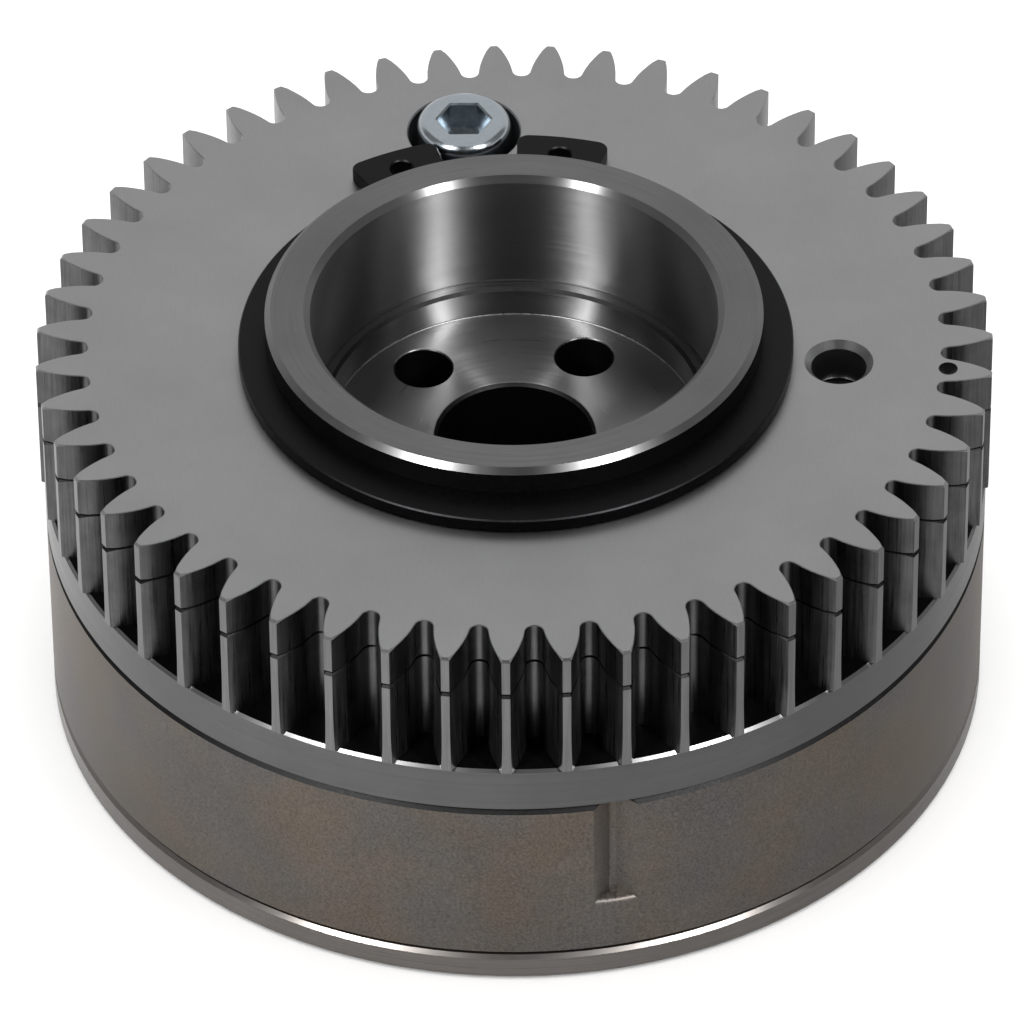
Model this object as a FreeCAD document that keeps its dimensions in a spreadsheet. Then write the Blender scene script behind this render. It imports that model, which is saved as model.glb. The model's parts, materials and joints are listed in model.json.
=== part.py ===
"""Cam phaser with a split anti-backlash gear, standing on its rear cover with the camshaft side up.

Millimetres and degrees. The origin is on the axis at the rear face of the rear cover, and +Z points to the
camshaft. Angles are counted from +X, anticlockwise seen from the camshaft side.
"""

import FreeCAD
import Part
import Sketcher
import math
import os

Vector = FreeCAD.Vector

# Driving dimensions
DIMENSIONS = {
    # Stack along the axis, from the rear face up
    "cover_thickness": 3.1,
    "housing_height": 20.6,
    "flange_thickness": 5.5,
    "drive_teeth_length": 10.45,
    "gear_gap": 0.15,
    "scissor_thickness": 4.7,
    "collar_rise": 4.6,
    # Teeth, the same on both gears
    "tooth_count": 51,
    "tooth_module": 1.855,
    "pressure_angle": 17.5,
    "addendum": 2.6975,
    "dedendum": 2.7525,
    "root_round": 0.95,
    "tooth_phase": -84.25,
    "tip_chamfer": 0.25,
    # Flange, housing and cover share one outer diameter, a little inside the tooth tips
    "body_inset": 0.35,
    "flange_top_chamfer": 0.8,
    "flange_seam_chamfer": 0.35,
    "housing_top_chamfer": 0.6,
    "housing_rear_chamfer": 0.75,
    "cover_chamfer": 0.4,
    # Collar that the camshaft journal runs in
    "journal_bore": 42.6,
    "journal_depth": 13.8,
    "journal_chamfer": 0.65,
    "nose_step": 0.3,
    "collar_wall": 4.7,
    "collar_edge_chamfer": 0.6,
    "shoulder_width": 1.0,
    # Clearances
    "end_play": 0.03,
    "running_clearance": 0.05,
    "pin_clearance": 0.01,
    "screw_clearance": 0.25,
    "thread_clearance": 0.05,
    "scissor_clearance": 0.03,
    "window_play": 1.0,
    "cut_past": 1.0,
    # Scissor gear
    "scissor_bore_chamfer": 0.4,
    "service_hole_diameter": 5.8,
    "service_sink_width": 0.7,
    "service_sink_depth": 0.7,
    "service_hole_inset": 10.55,
    "service_hole_angle": -6.3,
    "service_pin_diameter": 5.0,
    "service_pin_depth": 8.0,
    "dimple_diameter": 2.0,
    "dimple_depth": 0.6,
    "dimple_rise": 0.85,
    # Stop screw, M6 socket cap
    "stop_inset": 9.05,
    "stop_angle": 98.4,
    "stop_head_diameter": 10.0,
    "stop_head_height": 6.0,
    "stop_head_chamfer": 0.6,
    "stop_key_width": 5.0,
    "stop_key_depth": 3.2,
    "stop_thread_diameter": 6.0,
    "stop_thread_length": 12.0,
    "stop_seat_rise": 0.55,
    # Retaining ring in the collar's groove
    "groove_depth": 1.5,
    "ring_thickness": 1.5,
    "ring_side_play": 0.05,
    "ring_band_width": 4.45,
    "ring_offset": 1.35,
    "ring_gap_angle": 96.9,
    "lug_reach": 8.1,
    "lug_inner_angle": 7.8,
    "lug_outer_angle": 25.6,
    "lug_round": 1.2,
    "lug_hole_diameter": 2.5,
    "lug_hole_reach": 5.0,
    # Ring spring between the gears
    "spring_room_depth": 5.7,
    "spring_width": 2.6,
    "spring_height": 4.0,
    "spring_side_room": 0.4,
    "spring_outer_room": 0.5,
    "spring_gap_angle": 270.0,
    "spring_opening_angle": 26.0,
    "spring_pin_diameter": 2.4,
    "spring_pin_depth": 2.5,
    # Stator chambers
    "chamber_count": 5,
    "housing_wall": 8.65,
    "hub_wall": 3.2,
    "lobe_width_angle": 28.0,
    "lobe_angle": 62.4,
    "notch_angle": -78.4,
    "notch_width": 4.8,
    "notch_depth": 1.85,
    "notch_length": 13.5,
    # Rotor
    "vane_width_angle": 21.0,
    "vane_stop_gap_angle": 0.5,
    "rim_step": 0.1,
    "rim_width": 1.2,
    "recess_depth": 3.5,
    "recess_chamfer": 0.35,
    "centre_bore": 16.4,
    "centre_chamfer": 0.35,
    "bolt_seat_diameter": 31.0,
    "bolt_seat_depth": 4.0,
    "oil_hole_diameter": 6.2,
    "oil_hole_radius": 14.6,
    "oil_hole_angle": 59.4,
    "oil_hole_depth": 20.0,
    "oil_duct_diameter": 2.5,
    "oil_duct_lead_angle": 34.0,
    "oil_duct_height": 10.0,
    # Vane tip seals and the leaf springs behind them
    "seal_width": 2.2,
    "seal_length": 3.2,
    "seal_clearance": 0.03,
    "leaf_room": 1.0,
    "leaf_thickness": 0.25,
    "leaf_width": 1.8,
    "leaf_end_room": 1.77,
    # Lock pin in one vane, its spring, its cap and its bush in the flange
    "lock_vane_number": 3,
    "lock_diameter": 7.0,
    "lock_clearance": 0.03,
    "lock_length": 12.0,
    "lock_drawn_in": 2.6,
    "lock_nose_chamfer": 0.6,
    "lock_pin_wall": 1.2,
    "lock_pocket_depth": 8.0,
    "lock_cap_height": 2.2,
    "lock_cap_lift": 0.2,
    "lock_guide_height": 2.0,
    "lock_guide_room": 0.35,
    "lock_wire": 0.5,
    "lock_wire_room": 0.25,
    "lock_spring_turn_count": 7,
    "bush_clearance": 0.2,
    "bush_wall": 1.3,
    "bush_depth": 4.0,
    "vent_diameter": 2.5,
    # Cover screws, M5 countersunk, from the rear
    "cover_screw_inset": 5.0,
    "cover_screw_thread": 5.0,
    "cover_screw_head": 9.2,
    "cover_screw_head_height": 2.5,
    "cover_screw_sunk": 0.15,
    "cover_screw_grip": 10.45,
    "cover_key_width": 3.0,
    "cover_key_depth": 1.9,
    "tap_allowance": 1.5,
    # Dowels
    "dowel_diameter": 4.0,
    "dowel_inset": 2.5,
    "housing_dowel_length": 8.0,
    "housing_dowel_grip": 3.0,
    "cover_dowel_grip": 4.4,
    "cam_dowel_angle": 239.4,
    "cam_dowel_depth": 4.0,
    "cam_dowel_rise": 2.5,
    "rear_opening_margin": 1.5,
}

doc = FreeCAD.newDocument("cam_phaser")
sheet = doc.addObject("Spreadsheet::Sheet", "dims")
for row, (alias, number) in enumerate(DIMENSIONS.items(), start=1):
    sheet.set(f"A{row}", alias)
    sheet.set(f"B{row}", str(number))
    sheet.setAlias(f"B{row}", alias)
doc.recompute()


class Sizes:
    """Gives each alias of the sheet as the text that refers to it in an expression."""

    def __getattr__(self, alias):
        return f"dims.{alias}"


D = Sizes()
nodes = []


def value(expression):
    """Number that an expression gives with the sheet's present sizes."""
    return float(sheet.evalExpression(str(expression)))


def total(*terms):
    return "(" + " + ".join(str(term) for term in terms) + ")"


def less(first, *rest):
    return "(" + " - ".join(str(term) for term in (first, *rest)) + ")"


def half(expression):
    return f"({expression} / 2)"


def bind(piece, **expressions):
    for name, expression in expressions.items():
        piece.setExpression(name, str(expression))
    return piece


def place(piece, x="0", y="0", z="0", turn="0"):
    """Binds a piece's position, and its turn about its own +Z."""
    piece.Placement.Rotation = FreeCAD.Rotation(Vector(0, 0, 1), value(turn))
    for axis, expression in (("x", x), ("y", y), ("z", z)):
        piece.setExpression(f"Placement.Base.{axis}", str(expression))
    piece.setExpression("Placement.Rotation.Angle", str(turn))
    return piece


def along(radius, angle):
    """x and y expressions of a point at a radius and an angle from the axis."""
    return f"{radius} * cos({angle})", f"{radius} * sin({angle})"


def cylinder(name, diameter, height, z="0", radius="0", angle="0", sweep="360"):
    piece = doc.addObject("Part::Cylinder", name)
    bind(piece, Radius=half(diameter), Height=height, Angle=sweep)
    x, y = along(radius, angle)
    return place(piece, x, y, z, angle)


def cone(name, lower, upper, height, z="0", radius="0", angle="0"):
    piece = doc.addObject("Part::Cone", name)
    bind(piece, Radius1=half(lower), Radius2=half(upper), Height=height)
    x, y = along(radius, angle)
    return place(piece, x, y, z, angle)


def box(name, length, width, height, start, z, angle):
    """Box that reaches outward from a start radius, centred on a radial line."""
    piece = doc.addObject("Part::Box", name)
    bind(piece, Length=length, Width=width, Height=height)
    x = f"{start} * cos({angle}) + {half(width)} * sin({angle})"
    y = f"{start} * sin({angle}) - {half(width)} * cos({angle})"
    return place(piece, x, y, z, angle)


def hexagon(name, key_width, height, z, radius, angle):
    piece = doc.addObject("Part::Prism", name)
    piece.Polygon = 6
    bind(piece, Circumradius=f"{key_width} / 2 / cos(30)", Height=height)
    x, y = along(radius, angle)
    return place(piece, x, y, z, "0")


def fuse(name, pieces):
    joined = doc.addObject("Part::MultiFuse", name)
    joined.Shapes = pieces
    return joined


def cut(name, base, tools):
    """Cuts one tool, or several joined first, out of a base."""
    result = doc.addObject("Part::Cut", name)
    result.Base = base
    result.Tool = tools[0] if len(tools) == 1 else fuse(f"{name}_cuts", tools)
    return result


def turned(name, corners):
    """Solid of revolution about Z from its section's corners, each a radius and a height."""
    body = doc.addObject("PartDesign::Body", name)
    section = body.newObject("Sketcher::SketchObject", f"{name}_section")
    plane = next(item for item in body.Origin.OriginFeatures if item.Role == "XZ_Plane")
    section.AttachmentSupport = (plane, [""])
    section.MapMode = "FlatFace"
    points = [Vector(value(radius), value(height), 0) for radius, height in corners]
    last = len(points) - 1
    for index, point in enumerate(points):
        section.addGeometry(Part.LineSegment(point, points[(index + 1) % len(points)]), False)
    for index in range(len(points)):
        following = 0 if index == last else index + 1
        section.addConstraint(Sketcher.Constraint("Coincident", index, 2, following, 1))
    for index, (radius, height) in enumerate(corners):
        if points[index].x == 0:
            section.addConstraint(Sketcher.Constraint("PointOnObject", index, 1, -2))
        else:
            constraint = Sketcher.Constraint("DistanceX", -1, 1, index, 1, points[index].x)
            number = section.addConstraint(constraint)
            section.setExpression(f"Constraints[{number}]", str(radius))
        constraint = Sketcher.Constraint("DistanceY", -1, 1, index, 1, points[index].y)
        number = section.addConstraint(constraint)
        section.setExpression(f"Constraints[{number}]", str(height))
    turning = body.newObject("PartDesign::Revolution", f"{name}_turning")
    turning.Profile = section
    turning.ReferenceAxis = (section, ["V_Axis"])
    turning.Angle = 360
    return body


def node(label, piece):
    """Names a finished sub-part after the file that it is written to."""
    piece.Label = label
    nodes.append(piece)
    return piece


# Cutting tools run this much past the faces that they open
PAST = D.cut_past

# Heights of the faces between the pieces
HOUSING_Z = D.cover_thickness
FLANGE_Z = total(HOUSING_Z, D.housing_height)
TEETH_Z = total(FLANGE_Z, D.flange_thickness)
WEB_Z = total(TEETH_Z, D.drive_teeth_length)
SCISSOR_Z = total(WEB_Z, D.gear_gap)
FACE_Z = total(SCISSOR_Z, D.scissor_thickness)
COLLAR_Z = total(FACE_Z, D.collar_rise)
ROTOR_Z = total(HOUSING_Z, D.end_play)
ROTOR_TOP_Z = less(FLANGE_Z, D.end_play)
RIM_Z = less(COLLAR_Z, D.journal_depth, D.rim_step)
FLOOR_Z = less(RIM_Z, D.recess_depth)
RING_Z = total(FACE_Z, D.end_play)

# Radii that the pieces share
PITCH = f"({D.tooth_count} * {D.tooth_module} / 2)"
TIP = total(PITCH, D.addendum)
ROOT = less(PITCH, D.dedendum)
BODY = less(TIP, D.body_inset)
JOURNAL = half(D.journal_bore)
NOSE_BORE = less(JOURNAL, D.nose_step)
COLLAR = total(JOURNAL, D.collar_wall)
SHOULDER = total(COLLAR, D.shoulder_width)
GROOVE = less(COLLAR, D.groove_depth)
LUG = total(GROOVE, D.lug_reach)
CHAMBER = less(BODY, D.housing_wall)
LOBE_BORE = total(NOSE_BORE, D.hub_wall)
VANE = less(CHAMBER, D.running_clearance)
RECESS = less(NOSE_BORE, D.rim_width)
STOP_AT = less(ROOT, D.stop_inset)
SERVICE_AT = less(ROOT, D.service_hole_inset)
DIMPLE_AT = total(ROOT, D.dimple_rise)
LOCK_AT = half(total(LOBE_BORE, CHAMBER))
COVER_SCREW_AT = less(CHAMBER, D.cover_screw_inset)
DOWEL_AT = total(CHAMBER, D.dowel_inset)
REAR_OPENING = total(half(D.bolt_seat_diameter), D.rear_opening_margin)
SEAL_INNER = less(VANE, D.seal_length)
SEAL_SLOT_FLOOR = less(SEAL_INNER, D.leaf_room)

# Chambers, lobes and vanes come round at one step
CHAMBERS = range(round(value(D.chamber_count)))


def spaced(first_angle, index):
    return total(first_angle, f"{index} * 360 / {D.chamber_count}")


FIRST_POCKET_ANGLE = total(D.lobe_angle, half(D.lobe_width_angle))
POCKET_WIDTH_ANGLE = less(f"360 / {D.chamber_count}", D.lobe_width_angle)
FIRST_VANE_ANGLE = total(FIRST_POCKET_ANGLE, D.vane_stop_gap_angle, half(D.vane_width_angle))
BUSH_BORE = total(half(D.lock_diameter), D.bush_clearance)
BUSH = total(BUSH_BORE, D.bush_wall)
LOCK_ANGLE = spaced(FIRST_VANE_ANGLE, D.lock_vane_number)

# Holes that take screws and dowels
COVER_SCREW_TAP = total(D.cover_screw_thread, f"2 * {D.thread_clearance}")
COVER_SCREW_HOLE = total(D.cover_screw_thread, f"2 * {D.screw_clearance}")
COVER_SCREW_TIP_Z = total(FLANGE_Z, D.cover_screw_grip)
STOP_SEAT_Z = total(WEB_Z, D.stop_seat_rise)
DOWEL_HOLE = total(D.dowel_diameter, f"2 * {D.pin_clearance}")
HOUSING_DOWEL_ANGLE = spaced(D.lobe_angle, 2)
COVER_DOWEL_ANGLE = spaced(D.lobe_angle, 4)
COVER_DOWEL_TOP_Z = total(HOUSING_Z, D.cover_dowel_grip)
HOUSING_DOWEL_Z = less(total(FLANGE_Z, D.housing_dowel_grip), D.housing_dowel_length)

# Room for the ring spring, with a pin against each of the spring's ends
SPRING_FLOOR_Z = less(WEB_Z, D.spring_room_depth)
SPRING_INNER = total(SHOULDER, D.spring_side_room)
SPRING_ROOM = total(SPRING_INNER, D.spring_width, D.spring_outer_room)
SPRING_MIDDLE = total(SPRING_INNER, half(D.spring_width))
SPRING_PIN_HOLE = total(D.spring_pin_diameter, f"2 * {D.pin_clearance}")
SPRING_PIN_REACH = total(half(D.spring_pin_diameter), D.pin_clearance)
PIN_LEAD = less(half(D.spring_opening_angle), f"{SPRING_PIN_REACH} / {SPRING_MIDDLE} * 180 / pi")
ANCHOR_PIN_ANGLE = less(D.spring_gap_angle, PIN_LEAD)
MOVING_PIN_ANGLE = total(D.spring_gap_angle, PIN_LEAD)


# Toothed rim, shared by both gears

def involute(angle):
    return math.tan(angle) - angle


def half_tooth_angle(radius):
    """Half of a tooth's width at a radius, as an angle in radians."""
    pressure = math.radians(value(D.pressure_angle))
    base_radius = value(PITCH) * math.cos(pressure)
    at_radius = math.acos(min(1.0, base_radius / radius))
    return math.pi / 2 / value(D.tooth_count) + involute(pressure) - involute(at_radius)


def rim_point(radius, angle):
    return Vector(radius * math.cos(angle), radius * math.sin(angle), 0)


def toothed_face(name):
    """Flat face of the whole toothed rim: flanks, tips and roots are one arc each."""
    count = round(value(D.tooth_count))
    step = 2 * math.pi / count
    tip = value(TIP)
    root = value(ROOT)
    low = root + value(D.root_round)
    middle = (low + tip) / 2
    edges = []
    for index in range(count):
        centre = math.radians(value(D.tooth_phase)) + index * step
        sides = {radius: half_tooth_angle(radius) for radius in (low, middle, tip)}
        rising = [rim_point(radius, centre - sides[radius]) for radius in (low, middle, tip)]
        falling = [rim_point(radius, centre + sides[radius]) for radius in (tip, middle, low)]
        next_low = rim_point(low, centre + step - sides[low])
        edges.append(Part.Arc(*rising).toShape())
        edges.append(Part.Arc(rising[-1], rim_point(tip, centre), falling[0]).toShape())
        edges.append(Part.Arc(*falling).toShape())
        edges.append(Part.Arc(falling[-1], rim_point(root, centre + step / 2), next_low).toShape())
    face = doc.addObject("Part::Feature", name)
    face.Shape = Part.Face(Part.Wire(edges))
    return face


def toothed_disc(name, z, length):
    """Toothed disc whose tips are chamfered at both faces."""
    disc = doc.addObject("Part::Extrusion", f"{name}_teeth")
    disc.Base = toothed_face(f"{name}_outline")
    disc.DirMode = "Custom"
    disc.Dir = Vector(0, 0, 1)
    disc.Solid = True
    bind(disc, LengthFwd=length)
    place(disc, z=z)
    low = less(TIP, D.tip_chamfer)
    wide = total(TIP, PAST)
    top = total(z, length)
    blank = turned(f"{name}_blank", [
        ("0", z),
        (low, z),
        (TIP, total(z, D.tip_chamfer)),
        (wide, total(z, D.tip_chamfer)),
        (wide, less(top, D.tip_chamfer)),
        (TIP, less(top, D.tip_chamfer)),
        (low, top),
        ("0", top),
    ])
    rim = doc.addObject("Part::Common", f"{name}_rim")
    rim.Base = disc
    rim.Tool = blank
    return rim


# Drive gear: flange, teeth and collar in one piece

def drive_gear():
    rim = toothed_disc("drive", TEETH_Z, D.drive_teeth_length)
    flange = turned("drive_flange", [
        ("0", FLANGE_Z),
        (less(BODY, D.flange_seam_chamfer), FLANGE_Z),
        (BODY, total(FLANGE_Z, D.flange_seam_chamfer)),
        (BODY, less(TEETH_Z, D.flange_top_chamfer)),
        (less(BODY, D.flange_top_chamfer), TEETH_Z),
        ("0", TEETH_Z),
    ])
    spring_room = turned("drive_spring_room", [
        (SHOULDER, SPRING_FLOOR_Z),
        (SPRING_ROOM, SPRING_FLOOR_Z),
        (SPRING_ROOM, total(WEB_Z, PAST)),
        (SHOULDER, total(WEB_Z, PAST)),
    ])
    rim_and_flange = cut("drive_rim_and_flange", fuse("drive_disc", [flange, rim]), [spring_room])
    shoulder_z = less(SCISSOR_Z, D.end_play)
    groove_z = less(RING_Z, D.ring_side_play)
    groove_top = total(RING_Z, D.ring_thickness, D.ring_side_play)
    collar = turned("drive_collar", [
        ("0", TEETH_Z),
        (SHOULDER, TEETH_Z),
        (SHOULDER, shoulder_z),
        (COLLAR, shoulder_z),
        (COLLAR, groove_z),
        (GROOVE, groove_z),
        (GROOVE, groove_top),
        (COLLAR, groove_top),
        (COLLAR, less(COLLAR_Z, D.collar_edge_chamfer)),
        (less(COLLAR, D.collar_edge_chamfer), COLLAR_Z),
        ("0", COLLAR_Z),
    ])
    stop_seat = cylinder("stop_seat", D.stop_head_diameter, total(D.stop_seat_rise, PAST),
                         less(WEB_Z, PAST), STOP_AT, D.stop_angle)
    solid = fuse("drive_solid", [rim_and_flange, collar, stop_seat])

    bore = turned("drive_bore", [
        ("0", less(FLANGE_Z, PAST)),
        (NOSE_BORE, less(FLANGE_Z, PAST)),
        (NOSE_BORE, less(COLLAR_Z, D.journal_depth)),
        (JOURNAL, less(COLLAR_Z, D.journal_depth)),
        (JOURNAL, less(COLLAR_Z, D.journal_chamfer)),
        (total(JOURNAL, D.journal_chamfer), COLLAR_Z),
        (total(JOURNAL, D.journal_chamfer), total(COLLAR_Z, PAST)),
        ("0", total(COLLAR_Z, PAST)),
    ])
    below = less(FLANGE_Z, PAST)
    stop_tap_depth = total(D.stop_thread_length, D.tap_allowance)
    stop_tap = cylinder("stop_tap", total(D.stop_thread_diameter, f"2 * {D.thread_clearance}"),
                        total(stop_tap_depth, PAST), less(STOP_SEAT_Z, stop_tap_depth),
                        STOP_AT, D.stop_angle)
    bush_seat = cylinder("bush_seat", f"2 * {total(BUSH, D.pin_clearance)}",
                         total(D.bush_depth, PAST), below, LOCK_AT, LOCK_ANGLE)
    dowel_seat = cylinder("housing_dowel_upper_seat", DOWEL_HOLE, total(D.housing_dowel_grip, D.end_play, PAST),
                          below, DOWEL_AT, HOUSING_DOWEL_ANGLE)
    pin_seat = cylinder("anchor_pin_seat", SPRING_PIN_HOLE, total(D.spring_pin_depth, PAST),
                        less(SPRING_FLOOR_Z, D.spring_pin_depth), SPRING_MIDDLE, ANCHOR_PIN_ANGLE)
    service_seat = cylinder("service_pin_seat", D.service_pin_diameter, total(D.service_pin_depth, PAST),
                            less(WEB_Z, D.service_pin_depth), SERVICE_AT, D.service_hole_angle)
    tools = [bore, stop_tap, bush_seat, dowel_seat, pin_seat, service_seat]
    for index in CHAMBERS:
        tools.append(cylinder(f"cover_screw_tap_{index}", COVER_SCREW_TAP,
                              less(total(COVER_SCREW_TIP_Z, D.tap_allowance), below), below,
                              COVER_SCREW_AT, spaced(D.lobe_angle, index)))
    node("drive_gear", cut("drive_gear", solid, tools))


# Stator housing: a ring with inward lobes that part the chambers

def stator_housing():
    ring = turned("housing_ring", [
        ("0", HOUSING_Z),
        (less(BODY, D.housing_rear_chamfer), HOUSING_Z),
        (BODY, total(HOUSING_Z, D.housing_rear_chamfer)),
        (BODY, less(FLANGE_Z, D.housing_top_chamfer)),
        (less(BODY, D.housing_top_chamfer), FLANGE_Z),
        ("0", FLANGE_Z),
    ])
    below = less(HOUSING_Z, PAST)
    through = total(D.housing_height, f"2 * {PAST}")
    tools = [cylinder("lobe_bore", f"2 * {LOBE_BORE}", through, below)]
    for index in CHAMBERS:
        tools.append(cylinder(f"chamber_{index}", f"2 * {CHAMBER}", through, below,
                              angle=spaced(FIRST_POCKET_ANGLE, index), sweep=POCKET_WIDTH_ANGLE))
        tools.append(cylinder(f"housing_screw_hole_{index}", COVER_SCREW_HOLE, through, below,
                              COVER_SCREW_AT, spaced(D.lobe_angle, index)))
    tools.append(cylinder("housing_dowel_lower_seat", DOWEL_HOLE,
                          total(D.housing_dowel_length, PAST), less(HOUSING_DOWEL_Z, D.end_play),
                          DOWEL_AT, HOUSING_DOWEL_ANGLE))
    tools.append(cylinder("cover_dowel_upper_seat", DOWEL_HOLE,
                          total(COVER_DOWEL_TOP_Z, D.end_play, PAST), f"-{PAST}",
                          DOWEL_AT, COVER_DOWEL_ANGLE))
    tools.append(timing_notch())
    node("stator_housing", cut("stator_housing", ring, tools))


def timing_notch():
    """V-shaped tool that opens the housing's wall from its top face down to a flat end."""
    # The V's sides keep their slope past the wall's outer face
    wide = f"{half(D.notch_width)} * (1 + {PAST} / {D.notch_depth})"
    body = doc.addObject("PartDesign::Body", "notch")
    section = body.newObject("Sketcher::SketchObject", "notch_section")
    plane = next(item for item in body.Origin.OriginFeatures if item.Role == "XY_Plane")
    section.AttachmentSupport = (plane, [""])
    section.MapMode = "FlatFace"
    deep = less(BODY, D.notch_depth)
    far = total(BODY, PAST)
    corners = [(deep, "0"), (far, f"-{wide}"), (far, wide)]
    points = [Vector(value(x), value(y), 0) for x, y in corners]
    for index, point in enumerate(points):
        section.addGeometry(Part.LineSegment(point, points[(index + 1) % 3]), False)
    for index in range(3):
        section.addConstraint(Sketcher.Constraint("Coincident", index, 2, (index + 1) % 3, 1))
    section.addConstraint(Sketcher.Constraint("PointOnObject", 0, 1, -1))
    section.addConstraint(Sketcher.Constraint("Symmetric", 1, 1, 2, 1, -1))
    depth = section.addConstraint(Sketcher.Constraint("DistanceX", -1, 1, 0, 1, points[0].x))
    section.setExpression(f"Constraints[{depth}]", deep)
    reach = section.addConstraint(Sketcher.Constraint("DistanceX", -1, 1, 1, 1, points[1].x))
    section.setExpression(f"Constraints[{reach}]", far)
    width = section.addConstraint(Sketcher.Constraint("DistanceY", 1, 1, 2, 1, 2 * points[2].y))
    section.setExpression(f"Constraints[{width}]", f"2 * {wide}")
    pad = body.newObject("PartDesign::Pad", "notch_pad")
    pad.Profile = section
    bind(pad, Length=total(D.notch_length, PAST))
    return place(body, z=less(FLANGE_Z, D.notch_length), turn=D.notch_angle)


# Rear cover with countersinks for the cover screws

def rear_cover():
    disc = turned("cover_disc", [
        (REAR_OPENING, "0"),
        (less(BODY, D.cover_chamfer), "0"),
        (BODY, D.cover_chamfer),
        (BODY, less(HOUSING_Z, D.cover_chamfer)),
        (less(BODY, D.cover_chamfer), HOUSING_Z),
        (REAR_OPENING, HOUSING_Z),
    ])
    through = total(D.cover_thickness, f"2 * {PAST}")
    tools = []
    for index in CHAMBERS:
        angle = spaced(D.lobe_angle, index)
        tools.append(cylinder(f"cover_screw_hole_{index}", COVER_SCREW_HOLE, through, f"-{PAST}",
                              COVER_SCREW_AT, angle))
        tools.append(cone(f"cover_sink_{index}", D.cover_screw_head, COVER_SCREW_HOLE,
                          D.cover_screw_head_height, D.cover_screw_sunk, COVER_SCREW_AT, angle))
        tools.append(cylinder(f"cover_sink_mouth_{index}", D.cover_screw_head,
                              total(D.cover_screw_sunk, PAST), f"-{PAST}", COVER_SCREW_AT, angle))
    tools.append(cylinder("cover_dowel_lower_seat", DOWEL_HOLE, through, f"-{PAST}",
                          DOWEL_AT, COVER_DOWEL_ANGLE))
    tools.append(cylinder("lock_vent", D.vent_diameter, through, f"-{PAST}", LOCK_AT, LOCK_ANGLE))
    node("rear_cover", cut("rear_cover", disc, tools))


# Five like screws, from the rear through cover and housing into the flange

def cover_screws():
    screws = []
    for index in CHAMBERS:
        angle = spaced(D.lobe_angle, index)
        shank = half(D.cover_screw_thread)
        body = turned(f"cover_screw_{index}", [
            ("0", D.cover_screw_sunk),
            (less(half(D.cover_screw_head), D.pin_clearance), D.cover_screw_sunk),
            (shank, total(D.cover_screw_sunk, D.cover_screw_head_height)),
            (shank, less(COVER_SCREW_TIP_Z, half(shank))),
            (half(shank), COVER_SCREW_TIP_Z),
            ("0", COVER_SCREW_TIP_Z),
        ])
        x, y = along(COVER_SCREW_AT, angle)
        place(body, x, y)
        socket = hexagon(f"cover_screw_socket_{index}", D.cover_key_width,
                         total(D.cover_key_depth, PAST), less(D.cover_screw_sunk, PAST),
                         COVER_SCREW_AT, angle)
        screws.append(cut(f"cover_screw_cut_{index}", body, [socket]))
    group = doc.addObject("Part::Compound", "cover_screws")
    group.Links = screws
    node("cover_screws", group)


# Stop screw: it holds the scissor gear's play to the window around its head

def stop_screw():
    radius = half(D.stop_head_diameter)
    shank = half(D.stop_thread_diameter)
    top = total(STOP_SEAT_Z, D.stop_head_height)
    tip = less(STOP_SEAT_Z, D.stop_thread_length)
    body = turned("stop_screw_body", [
        ("0", tip),
        (half(shank), tip),
        (shank, total(tip, half(shank))),
        (shank, STOP_SEAT_Z),
        (radius, STOP_SEAT_Z),
        (radius, less(top, D.stop_head_chamfer)),
        (less(radius, D.stop_head_chamfer), top),
        ("0", top),
    ])
    x, y = along(STOP_AT, D.stop_angle)
    place(body, x, y)
    socket = hexagon("stop_socket", D.stop_key_width, total(D.stop_key_depth, PAST),
                     less(top, D.stop_key_depth), STOP_AT, D.stop_angle)
    node("stop_screw", cut("stop_screw", body, [socket]))


# Scissor gear: a thin gear that turns a little on the collar

def scissor_gear():
    rim = toothed_disc("scissor", SCISSOR_Z, D.scissor_thickness)
    bore_radius = total(COLLAR, D.scissor_clearance)
    bore = turned("scissor_bore", [
        ("0", less(SCISSOR_Z, PAST)),
        (total(bore_radius, D.scissor_bore_chamfer), less(SCISSOR_Z, PAST)),
        (total(bore_radius, D.scissor_bore_chamfer), SCISSOR_Z),
        (bore_radius, total(SCISSOR_Z, D.scissor_bore_chamfer)),
        (bore_radius, less(FACE_Z, D.scissor_bore_chamfer)),
        (total(bore_radius, D.scissor_bore_chamfer), FACE_Z),
        (total(bore_radius, D.scissor_bore_chamfer), total(FACE_Z, PAST)),
        ("0", total(FACE_Z, PAST)),
    ])
    below = less(SCISSOR_Z, PAST)
    through = total(D.scissor_thickness, f"2 * {PAST}")
    window_width = total(D.stop_head_diameter, f"2 * {D.window_play}")
    window = cylinder("screw_window", window_width, through, below, STOP_AT, D.stop_angle)
    service = cylinder("service_hole", D.service_hole_diameter, through, below,
                       SERVICE_AT, D.service_hole_angle)
    sink_mouth = total(D.service_hole_diameter, f"2 * {D.service_sink_width}")
    sink = cone("service_sink", D.service_hole_diameter, sink_mouth, D.service_sink_depth,
                less(FACE_Z, D.service_sink_depth), SERVICE_AT, D.service_hole_angle)
    dimple = cone("timing_dimple", "0", D.dimple_diameter, D.dimple_depth,
                  less(FACE_Z, D.dimple_depth), DIMPLE_AT, D.service_hole_angle)
    pin_seat = cylinder("moving_pin_seat", SPRING_PIN_HOLE, total(D.spring_pin_depth, PAST), below,
                        SPRING_MIDDLE, MOVING_PIN_ANGLE)
    node("scissor_gear", cut("scissor_gear", rim, [bore, window, service, sink, dimple, pin_seat]))


# Retaining ring with two lugs, sprung into the collar's groove

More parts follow.
